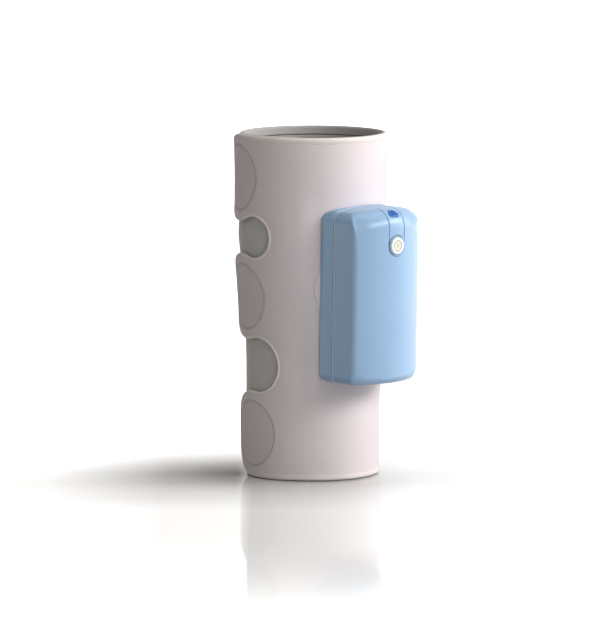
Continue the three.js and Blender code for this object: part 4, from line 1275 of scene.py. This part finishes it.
def tongue_column(grow, back):
    """The strip's outline in front view, run from before the pump to a depth."""
    half = TONGUE_HALF + grow
    turn = np.linspace(math.pi, 2 * math.pi, 49)
    end = np.stack([half * np.cos(turn), BUTTON_Z + half * np.sin(turn)], -1)
    sides = np.linspace(BUTTON_Z, HALF_HEIGHT * 1.3, 12)[1:]
    right = np.stack([0 * sides + half, sides], -1)
    outline = np.concatenate([end, right, right[::-1] * [-1, 1]])
    return column(outline, (0, BUTTON_Z + 10), (-2 * DEPTH, back))


def housing_body(inset, wall_y):
    """A closed solid in the housing's shape, pulled in by an inset."""
    rings = front_rings(inset, wall_y)
    return pump_mesh("tool", rings, "housing_gloss", (0, wall_y, 0), (0, -DEPTH + inset, 0))


LENS_MIDDLE = np.array([0, -DEPTH + TOP_ROUNDING * (1 - math.sin(LENS_TURN)),
                        HALF_HEIGHT - TOP_ROUNDING * (1 - math.cos(LENS_TURN))])
LENS_OUT = np.array([0, -math.sin(LENS_TURN), math.cos(LENS_TURN)])
LENS_DOWN = np.array([0, -math.cos(LENS_TURN), -math.sin(LENS_TURN)])
LENS_SIDES = 72
BORE_SIDES = 64


def lens_rings(profile, sides, grow=0.0):
    """Rings like a rounded wedge, wider towards the front, from pairs of a share of the half sizes
    and a height over the housing."""
    turn = full_turn(sides)[:, None]
    sideways, forward = (np.sign(v) * np.abs(v) ** 0.8 for v in (np.cos(turn), np.sin(turn)))
    rings = []
    for share, height in profile:
        across = (LENS_HALF[0] + grow) * share * sideways * (1 + 0.22 * forward) * np.array([1, 0, 0])
        down = (LENS_HALF[1] + grow) * share * forward * LENS_DOWN
        rings.append(LENS_MIDDLE + across + down + height * LENS_OUT)
    return rings


def lens_tool():
    """The bore that the light window sits in."""
    rings = lens_rings([(1, height) for height in LENS_BORE], BORE_SIDES, grow=BORE_ROOM)
    ends = [LENS_MIDDLE + height * LENS_OUT for height in LENS_BORE]
    return pump_mesh("tool", rings, "housing_gloss", *ends)


SCREW_HEAD_Y = float(back_y(SCREW_PLACES[0][0], BACK_GAP)) - SCREW_SINK

# Edge roundings, as pairs of an inset from the side and a distance from the flat end
RIM_ROUNDING = ((0.75, 0), (0.45, 0.03), (0.2, 0.13), (0.06, 0.3), (0, 0.5))
BACK_EDGE = 0.8
BACK_ROUNDING = ((0.08, 0.42), (0.3, 0.14), (0.65, 0.02), (1.2, 0))
BAND_ROUNDING = ((0.9, 0), (0.55, 0.04), (0.4, 0.2))
BEZEL_ROUNDING = ((0, 0.25), (0.07, 0.08), (0.22, 0))
CAP_ROUNDING = ((0.7, 0.01), (0.5, 0.06), (0.32, 0.15), (0.18, 0.28), (0.08, 0.44), (0.02, 0.62), (0, 0.82))


def rounded_rim(y, way):
    """Rings over the rim of a housing half, from its flat end to its side."""
    points, _, ways = housing_outline()
    return [ring_at(points - ways * inset, y + way * rise) for inset, rise in RIM_ROUNDING]


def make_cover():
    """The front half: a thin cup with the strip's recess, the button's well and the socket's slot."""
    rings = front_rings(COVER_WALL, COVER_BACK_Y)[::-1] + rounded_rim(COVER_BACK_Y, -1)[:-1]
    rings += front_rings(0, COVER_BACK_Y - RIM_ROUNDING[-1][1])
    cover = pump_mesh("cover_shell", rings, "housing_gloss", (0, -DEPTH + COVER_WALL, 0), (0, -DEPTH, 0))
    triangulate(cover)
    skin = Skin(cover)
    screw_boss = SCREW_RADIUS + BOSS_WALL
    board_boss = BOARD_SCREW_RADIUS + BOSS_WALL / 2
    bosses = [rod(screw_boss, x, z, -DEPTH, COVER_BACK_Y - GAP, 32) for x, z in SCREW_PLACES]
    bosses += [rod(board_boss, x, z, -DEPTH, BOARD_FRONT_Y - GAP, 24) for x, z in BOARD_SCREWS]
    # Each boss ends inside the wall
    for boss in bosses:
        combine(boss, "INTERSECT", [housing_body(COVER_WALL * 0.7, COVER_BACK_Y)])
    combine(cover, "UNION", bosses)
    recess = tongue_column(GAP, TONGUE_BACK_Y + GAP)
    combine(recess, "DIFFERENCE", [housing_body(RECESS_DEPTH, COVER_BACK_Y)])
    chamfer = tongue_column(GAP + CHAMFER, TONGUE_BACK_Y + GAP + CHAMFER)
    combine(chamfer, "DIFFERENCE", [housing_body(CHAMFER_DEPTH, COVER_BACK_Y)])
    before = -2 * DEPTH
    bore = SCREW_RADIUS + BORE_ROOM
    tools = [recess, chamfer, rod(WELL_RADIUS, 0, BUTTON_Z, before, -DEPTH + RECESS_DEPTH, 72),
             rod(STEM_RADIUS + BORE_ROOM, 0, BUTTON_Z, before, BOARD_FRONT_Y), lens_tool()]
    tools += [rod(bore, x, z, SCREW_HEAD_Y - SCREW_BORE_LENGTH, 0, 24) for x, z in SCREW_PLACES]
    combine(cover, "DIFFERENCE", tools)
    half_x, half_y = (half + GAP for half in SOCKET_HALF)
    slot = block((-half_x, half_x), (SOCKET_Y - half_y, SOCKET_Y + half_y),
                 (-2 * HALF_HEIGHT, -HALF_HEIGHT + SOCKET_SLOT_HEIGHT))
    combine(cover, "DIFFERENCE", [slot])
    skin.keep(cover)
    return cover


def dock_pocket(grow, y_range, corner=0.0):
    """A block round the dock, with its clearance and more if it is grown."""
    room = 2 * GAP + grow
    half = DOCK_HALF_WIDTH + room
    return block((-half, half), y_range, (DOCK_HEIGHTS[0] - room, DOCK_HEIGHTS[1] + room), corner)


def make_case():
    """The rear half: a shallow cup whose back is hollowed to fit the cuff, with a lip that reaches
    into the cover and a pocket for the dock."""
    points, _, ways = housing_outline()
    lip = housing_outline(COVER_WALL + GAP)[0]
    inner = housing_outline(COVER_WALL + GAP + LIP_WALL)[0]

    def floor_ring(outline, share, offset):
        return ring_at(outline * share, back_y(outline[:, 0] * share, offset))

    rings = [floor_ring(inner, share, BACK_GAP + CASE_WALL) for share in (0.15, 0.4, 0.65, 0.85, 0.97)]
    rings.append(ring_at(inner, back_y(inner[:, 0], BACK_GAP + CASE_WALL) - 0.6))
    rings += [ring_at(inner, y) for y in (LIP_Y + 4, LIP_Y + 0.2, LIP_Y)]
    rings += [ring_at(lip, y) for y in (LIP_Y, LIP_Y + 0.2, SEAM_Y - 0.05, SEAM_Y)]
    rings += rounded_rim(SEAM_Y, 1)
    back = back_y(points[:, 0], BACK_GAP)
    rim_end = SEAM_Y + RIM_ROUNDING[-1][1]
    straight = back - BACK_EDGE - rim_end
    rings += [ring_at(points, rim_end + straight * share) for share in (0.35, 0.7, 1.0)]
    rings += [ring_at(points - ways * inset, back - rise) for inset, rise in BACK_ROUNDING]
    flat = rings[-1][:, [0, 2]]
    rings += [floor_ring(flat, share, BACK_GAP) for share in (0.95, 0.85, 0.7, 0.55, 0.4, 0.25, 0.1)]
    first = (0, float(back_y(0.0, BACK_GAP + CASE_WALL)), 0)
    case = pump_mesh("case_shell", rings, "housing_gloss", first, (0, -BACK_GAP, 0))
    triangulate(case)
    skin = Skin(case)
    pocket_floor = -BACK_GAP - DOCK_DEPTH
    head_room = SCREW_HEAD_RADIUS + BORE_ROOM
    behind = DEPTH / 2
    bosses = [rod(head_room + BOSS_WALL / 2, x, z, COVER_BACK_Y + GAP, SCREW_HEAD_Y + 1.2, 40)
              for x, z in SCREW_PLACES]
    bosses.append(dock_pocket(POCKET_WALL, (pocket_floor - CASE_WALL, POCKET_WALL_Y)))
    combine(case, "UNION", bosses)
    tools = [rod(SCREW_RADIUS + BORE_ROOM, x, z, -DEPTH, behind, 24) for x, z in SCREW_PLACES]
    tools += [rod(head_room, x, z, SCREW_HEAD_Y - SCREW_HEAD - GAP, behind, 40) for x, z in SCREW_PLACES]
    tools += [dock_pocket(0, (pocket_floor, behind), POCKET_CORNER),
              rod(PORT_RADIUS + BORE_ROOM, 0, PORT_Z, -DEPTH, 0)]
    for tool in tools:
        combine(case, "DIFFERENCE", [tool])
    skin.keep(case)
    return case


def make_gasket():
    """The thin band between the two halves, a little below their surface."""
    points, _, ways = housing_outline()
    back = SEAM_Y - GAP
    front = back - BAND_THICKNESS
    profile = [(BAND_WIDTH, front), (BAND_WIDTH, back)]
    profile += [(inset, back - rise) for inset, rise in BAND_ROUNDING]
    profile += [(BAND_INSET, (front + back) / 2)]
    profile += [(inset, front + rise) for inset, rise in reversed(BAND_ROUNDING)]
    rings = [ring_at(points - ways * inset, y) for inset, y in profile]
    return pump_mesh("seam_band", rings, "trim_plastic", closed=True)


def strip_column(x, steps):
    """The strip's outer and inner points at one distance from its middle line, from its back end
    over the top down to the button's well."""
    front = front_y(x, 0)
    top = HALF_HEIGHT - TOP_CROWN * (x / HALF_WIDTH) ** 2
    curve = TOP_ROUNDING * math.pi / 2
    flat_run = TONGUE_BACK_Y - TOP_ROUNDING - front
    straight = top - TOP_ROUNDING - BUTTON_Z - math.sqrt(WELL_RADIUS ** 2 - x ** 2)
    length = flat_run + curve + straight
    run = np.concatenate([steps, np.linspace(steps[-1], length - steps[-1], 48)[1:-1], length - steps[::-1]])
    turn = np.clip((run - flat_run) / TOP_ROUNDING, 0, math.pi / 2)
    down = np.clip(run - flat_run - curve, 0, None)
    y = np.where(run < flat_run, TONGUE_BACK_Y - run, front + TOP_ROUNDING * (1 - np.sin(turn)))
    z = top - TOP_ROUNDING * (1 - np.cos(turn)) - down
    tilt = math.asin(x / FRONT_RADIUS)
    normal = np.stack([np.sin(turn) * math.sin(tilt), -np.sin(turn) * math.cos(tilt), np.cos(turn)], -1)
    normal /= np.linalg.norm(normal, axis=1, keepdims=True)
    edge = np.minimum(TONGUE_HALF - abs(x), np.minimum(run, length - run))
    roll = rounded(edge, TONGUE_EDGE)[:, None]
    spot = np.stack([0 * y + x, y, z], -1)
    inner = spot - normal * (TONGUE_EDGE + (TONGUE_DEPTH - TONGUE_EDGE) * roll)
    return spot - normal * TONGUE_EDGE * (1 - roll), inner


def make_tongue():
    """The strip that runs over the top to the button: a thin skin with soft edges."""
    steps = np.array([0, 0.04, 0.13, 0.28, 0.5, 0.9])
    middle = np.linspace(-TONGUE_HALF + 1.6, TONGUE_HALF - 1.6, 11)
    xs = np.concatenate([-TONGUE_HALF + steps, middle, TONGUE_HALF - steps[::-1]])
    outer, inner = (np.stack(side) for side in zip(*(strip_column(x, steps) for x in xs)))
    columns, rows = outer.shape[:2]
    on_edge = np.zeros((columns, rows), bool)
    on_edge[[0, -1]] = True
    on_edge[:, [0, -1]] = True
    outer, inner = (on_pump(side.reshape(-1, 3)) for side in (outer, inner))
    faces = grid_faces(columns, rows).tolist()
    strip = closed_sheet("control_strip", outer, inner, faces, on_edge.ravel(), "housing_gloss")
    face_outward(strip)
    triangulate(strip)
    skin = Skin(strip)
    combine(strip, "DIFFERENCE", [lens_tool()])
    skin.keep(strip)
    return strip


def make_lens():
    """A domed window with a rounded rim."""
    profile = [(share, LENS_DOME * (1 - share ** 2) + 0.02) for share in np.linspace(0.06, 0.86, 9)]
    profile += [(0.93, 0.06), (0.97, -0.03), (0.992, -0.16), (1.0, -0.34), (1.0, -1.2)]
    profile += [(1.0, 0.1 - LENS_DEPTH), (0.97, -LENS_DEPTH)]
    # The rim mask grades the window's painted shade: dark in its middle, lighter at its rim.
    rim = np.repeat([float(ease(share, 0.55, 0.97)) for share, _ in profile], LENS_SIDES)
    ends = [LENS_MIDDLE + height * LENS_OUT for height in (LENS_DOME + 0.02, -LENS_DEPTH)]
    rings = lens_rings(profile, LENS_SIDES)
    return pump_mesh("light_window", rings, "lens_blue", *ends, {"rim": np.append(rim, [0.0, 1.0])})


def button_ring(radius, y, turn):
    """A ring about the button's axis."""
    return np.stack([radius * np.cos(turn), y + 0 * turn, BUTTON_Z + radius * np.sin(turn)], -1)


def make_bezel():
    """The ring round the button."""
    front, back = -DEPTH - BEZEL_PROUD, -DEPTH + TONGUE_DEPTH
    profile = [(BEZEL_BORE, back), (BEZEL_RADIUS, back)]
    profile += [(BEZEL_RADIUS - inset, front + rise) for inset, rise in BEZEL_ROUNDING]
    profile += [(BEZEL_BORE + inset, front + rise) for inset, rise in reversed(BEZEL_ROUNDING)]
    rings = [button_ring(radius, y, full_turn(96)) for radius, y in profile]
    return pump_mesh("button_ring", rings, "housing_gloss", closed=True)


def make_button():
    """A dished white cap on a stem; the power mark is a closed ring with a short bar."""
    front = -DEPTH - BUTTON_PROUD
    turn = full_turn(144)
    radii = np.concatenate([np.arange(0.2, 2.6, 0.16), np.arange(2.7, 4.4, 0.08), np.linspace(4.5, 5.1, 5)])
    rings, marks = [], []
    for radius in radii:
        circle = 1 - ease(abs(radius - MARK_RADIUS), MARK_WIDTH * 0.6, MARK_WIDTH)
        across, up = np.abs(radius * np.cos(turn)), np.abs(radius * np.sin(turn))
        bar = (1 - ease(across, 0.3, 0.5)) * (1 - ease(up, 1.15, 1.4))
        mark = np.maximum(circle, bar)
        dish = BUTTON_DISH * (1 - ease(radius, 0, 4.9))
        rings.append(button_ring(radius, front + dish + MARK_DEPTH * mark, turn))
        marks.append(mark)
    edge = [(BUTTON_RADIUS - inset, front + rise) for inset, rise in CAP_ROUNDING]
    edge += [(BUTTON_RADIUS, front + 0.95), (BUTTON_RADIUS - 0.05, front + 1.0)]
    edge += [(STEM_RADIUS + 0.1, front + 1.0), (STEM_RADIUS, front + 1.05), (STEM_RADIUS, STEM_BACK_Y - 0.2),
             (STEM_RADIUS - 0.15, STEM_BACK_Y)]
    rings += [button_ring(radius, y, turn) for radius, y in edge]
    marks.append(np.zeros(len(edge) * len(turn)))
    reach = np.append(radii, [radius for radius, _ in edge])
    centre = np.repeat(1 - ease(reach, MARK_RADIUS, MARK_RADIUS + 0.3), len(turn))
    masks = {"mark": np.concatenate([*marks, [1.0, 0.0]]), "centre": np.append(centre, [1.0, 0.0])}
    ends = [(0, front + BUTTON_DISH + MARK_DEPTH, BUTTON_Z), (0, STEM_BACK_Y, BUTTON_Z)]
    return pump_mesh("push_button", rings, "button_white", *ends, masks)


def make_patch():
    """The oval of pile that the dock is bonded to, with the port's hole."""
    sides = 120
    shares = np.append(np.linspace(0, 0.96, 16)[1:], [0.975, 0.985, 0.993, 0.998, 1.0])
    half = (PATCH_HALF[0] * FLAT_RADIUS / wall_radius(PATCH_Z), PATCH_HALF[1])
    x, z, share = pad_layout((0.0, PATCH_Z), half, shares, sides)
    depth = (1 - share) * PATCH_HALF[1]
    roll = rounded(depth, 0.9)
    stitch = PATCH_EDGE * hump(depth, 2.2, 0.5)
    outer = cloth_point(angle_at(x), PATCH_EDGE + roll * (PATCH_TOP - PATCH_EDGE) - stitch, z)
    inner = cloth_point(angle_at(x), PATCH_SEAT, z)
    patch = make_pad("patch_felt", x, z, outer, inner, sides)
    combine(patch, "DIFFERENCE", [rod(PORT_FLANGE_RADIUS + BORE_ROOM, 0, PORT_Z, -6, 4)])
    patch.data.polygons.foreach_set("use_smooth", [True] * len(patch.data.polygons))
    patch.data.set_sharp_from_angle(angle=math.radians(50))
    return patch


patch = make_patch()
settle(patch, "cuff", "hook_felt", "mount_patch")

settle(make_cover(), "pump", "housing_gloss", "front_cover")
settle(make_case(), "pump", "housing_gloss", "rear_case")
settle(make_gasket(), "pump", "trim_plastic", "seam_gasket")
settle(make_tongue(), "pump", "housing_gloss", "control_tongue")
settle(make_bezel(), "pump", "housing_gloss", "button_bezel")
settle(make_lens(), "pump", "lens_blue", "indicator_lens")
settle(make_button(), "button", "button_white", "power_button")


# Parts whose solids are shown as they are
NODE_FINISHES = {
    "trim_plastic": ("dock_plate",),
    "white_plastic": ("air_port", "battery_tray_left", "battery_tray_right", "pump_head", "air_manifold",
                      "status_led"),
    "black_plastic": ("tact_switch", "pressure_sensor", "valve_body"),
    "board_green": ("circuit_board", "charging_board"),
    "cell_sleeve": ("battery_cell_left", "battery_cell_right"),
    "motor_metal": ("pump_motor",),
    "screw_steel": ("motor_shaft", "valve_plunger", "charging_socket",
                    *(f"{kind}_screw_{i}" for kind in ("board", "case") for i in range(1, 5))),
    "soft_rubber": ("air_hose", "port_seal"),
}

for finish, names in NODE_FINISHES.items():
    for name in names:
        materials = frame["nodes"][name].data.materials
        materials.clear()
        materials.append(FINISHES[finish])


# Floor and light, in metres
FLOOR_Z = -0.0003
FLOOR_REACH = 14.0
AMBIENT = 0.28
AMBIENT_TINT = (1.0, 0.965, 0.90, 1)
WHITE = (1, 1, 1, 1)


def shown_rays(finish):
    """1 for rays that show the background: seen by the camera, in a gloss or through glass."""
    kinds = ("Is Camera Ray", "Is Glossy Ray", "Is Transmission Ray")
    rays = [finish.node("ShaderNodeLightPath", {}, {}, kind) for kind in kinds]
    return finish.node("ShaderNodeMath", {"operation": "MINIMUM"}, {0: rays[0] + rays[1] + rays[2], 1: 1.0})


def floor_white():
    """A pale floor that keeps the object's shadow. Its glow fills the shadow at the distances that
    the ramps give: away from the cuff, in front of it and to its left as the camera looks. Close to
    the object it has a faint mirror, and its colour is painted darker there: a painted contact shadow
    for the camera, and painted shade in the light it throws back on the object."""
    finish = Finish("floor_white")
    place = finish.node("ShaderNodeTexCoord", {}, {}, "Object")
    sockets = {0: place, 1: tuple(AXIS * MM)}
    from_axis = finish.node("ShaderNodeVectorMath", {"operation": "SUBTRACT"}, sockets)

    def along(direction):
        sockets = {0: from_axis, 1: direction}
        return finish.node("ShaderNodeVectorMath", {"operation": "DOT_PRODUCT"}, sockets, "Value")

    def ramp(distance, low, high, first, last, kind="LINEAR"):
        sockets = {"Value": distance, 1: low, 2: high, 3: first, 4: last}
        return finish.node("ShaderNodeMapRange", {"interpolation_type": kind}, sockets)

    def matt(share, dark, light):
        colour = finish.mix(share, (dark, dark, dark), (light, light, light))
        return finish.node("ShaderNodeBsdfDiffuse", {}, {"Color": colour})

    away = finish.node("ShaderNodeVectorMath", {"operation": "LENGTH"}, {0: from_axis}, "Value")
    front = along((math.sin(VIEW_AZIMUTH), -math.cos(VIEW_AZIMUTH), 0))
    left = along((-math.cos(VIEW_AZIMUTH), -math.sin(VIEW_AZIMUTH), 0))
    # Painted contact shadow: the floor the camera sees is coloured darker close to the cuff.
    pale = matt(ramp(away, 0.05, 0.12, 0.0, 1.0), 0.58, 0.72)
    # Painted shade: the floor that lights the cuff back is coloured darker close to it.
    grey = matt(ramp(away, 0.05, 0.5, 0.0, 1.0), 0.38, 0.45)
    round_it = ramp(away, 0.07, 0.25, 0.0, 0.5) * ramp(front, 0.02, 0.12, 1.0, 0.0)
    far_off = ramp(away, 0.5, 2.5, 0.0, 0.6)
    in_front = ramp(front, 0.05, 0.17, 0.0, 0.43) + ramp(front, 0.3, 0.55, 0.0, 0.25)
    behind = ramp(front, -0.1, 0.01, 0.55, 0.0)
    beside = ramp(left, 0.1, 0.18, 0.0, 0.3) + ramp(left, -0.07, -0.03, 0.3, 0.0)
    glow = round_it + far_off + in_front + behind + beside
    light = finish.node("ShaderNodeEmission", {}, {"Color": WHITE, "Strength": glow})
    lit = finish.node("ShaderNodeAddShader", {}, {0: pale, 1: light})
    gloss = finish.node("ShaderNodeBsdfGlossy", {}, {"Color": WHITE, "Roughness": 0.05})
    mirror = ramp(away, 0.36, 0.70, 0.43, 0.0, "SMOOTHSTEP") * ramp(left, 0.04, 0.054, 1.0, 0.0, "SMOOTHSTEP")
    sheen = finish.node("ShaderNodeMixShader", {}, {0: mirror, 1: lit, 2: gloss})
    finish.show(finish.node("ShaderNodeMixShader", {}, {0: shown_rays(finish), 1: grey, 2: sheen}))
    return finish.owner


def make_floor():
    corners = FLOOR_REACH * QUARTERS
    mesh = bpy.data.meshes.new("floor")
    mesh.from_pydata([(x, y, FLOOR_Z) for x, y in corners], [], [(0, 1, 2, 3)])
    mesh.materials.append(floor_white())
    floor = bpy.data.objects.new("floor", mesh)
    scene.collection.objects.link(floor)


def make_world():
    """White where the background shows, and a dim warm light on the object."""
    finish = Finish("studio", "worlds")
    white = finish.node("ShaderNodeBackground", {}, {"Color": WHITE, "Strength": 1.0})
    soft = finish.node("ShaderNodeBackground", {}, {"Color": AMBIENT_TINT, "Strength": AMBIENT})
    mixed = finish.node("ShaderNodeMixShader", {}, {0: shown_rays(finish), 1: soft, 2: white})
    finish.show(mixed, "ShaderNodeOutputWorld")
    scene.world = finish.owner


AIM_HEIGHT = 0.12


def softbox(name, angle, rise, distance, size, level, tint=(1, 1, 1)):
    """An area light round the cuff, which may be tinted. At level 1 it lights a facing surface as
    its colour is written."""
    turn, lift = math.radians(angle), math.radians(rise)
    way = Vector((-math.sin(turn) * math.cos(lift), -math.cos(turn) * math.cos(lift), math.sin(lift)))
    data = bpy.data.lights.new(name, "AREA")
    data.shape = "RECTANGLE"
    data.size, data.size_y = size
    data.color = tint
    data.energy = level * math.pi ** 2 * distance ** 2
    lamp = bpy.data.objects.new(name, data)
    lamp.location = Vector(AXIS) * MM + Vector((0, 0, AIM_HEIGHT)) + way * distance
    lamp.rotation_euler = way.to_track_quat("Z", "Y").to_euler()
    lamp.visible_camera = False
    scene.collection.objects.link(lamp)


make_floor()
make_world()
softbox("key", angle=-58, rise=14, distance=3.0, size=(2.4, 1.6), level=0.37, tint=(1.0, 0.97, 0.95))
softbox("tube", angle=-24, rise=27, distance=1.6, size=(1.9, 0.5), level=0.76, tint=(1.0, 0.985, 0.975))
softbox("fill", angle=28, rise=8, distance=1.5, size=(0.3, 1.2), level=0.09)
softbox("top", angle=-40, rise=78, distance=2.0, size=(1.2, 1.2), level=0.14)
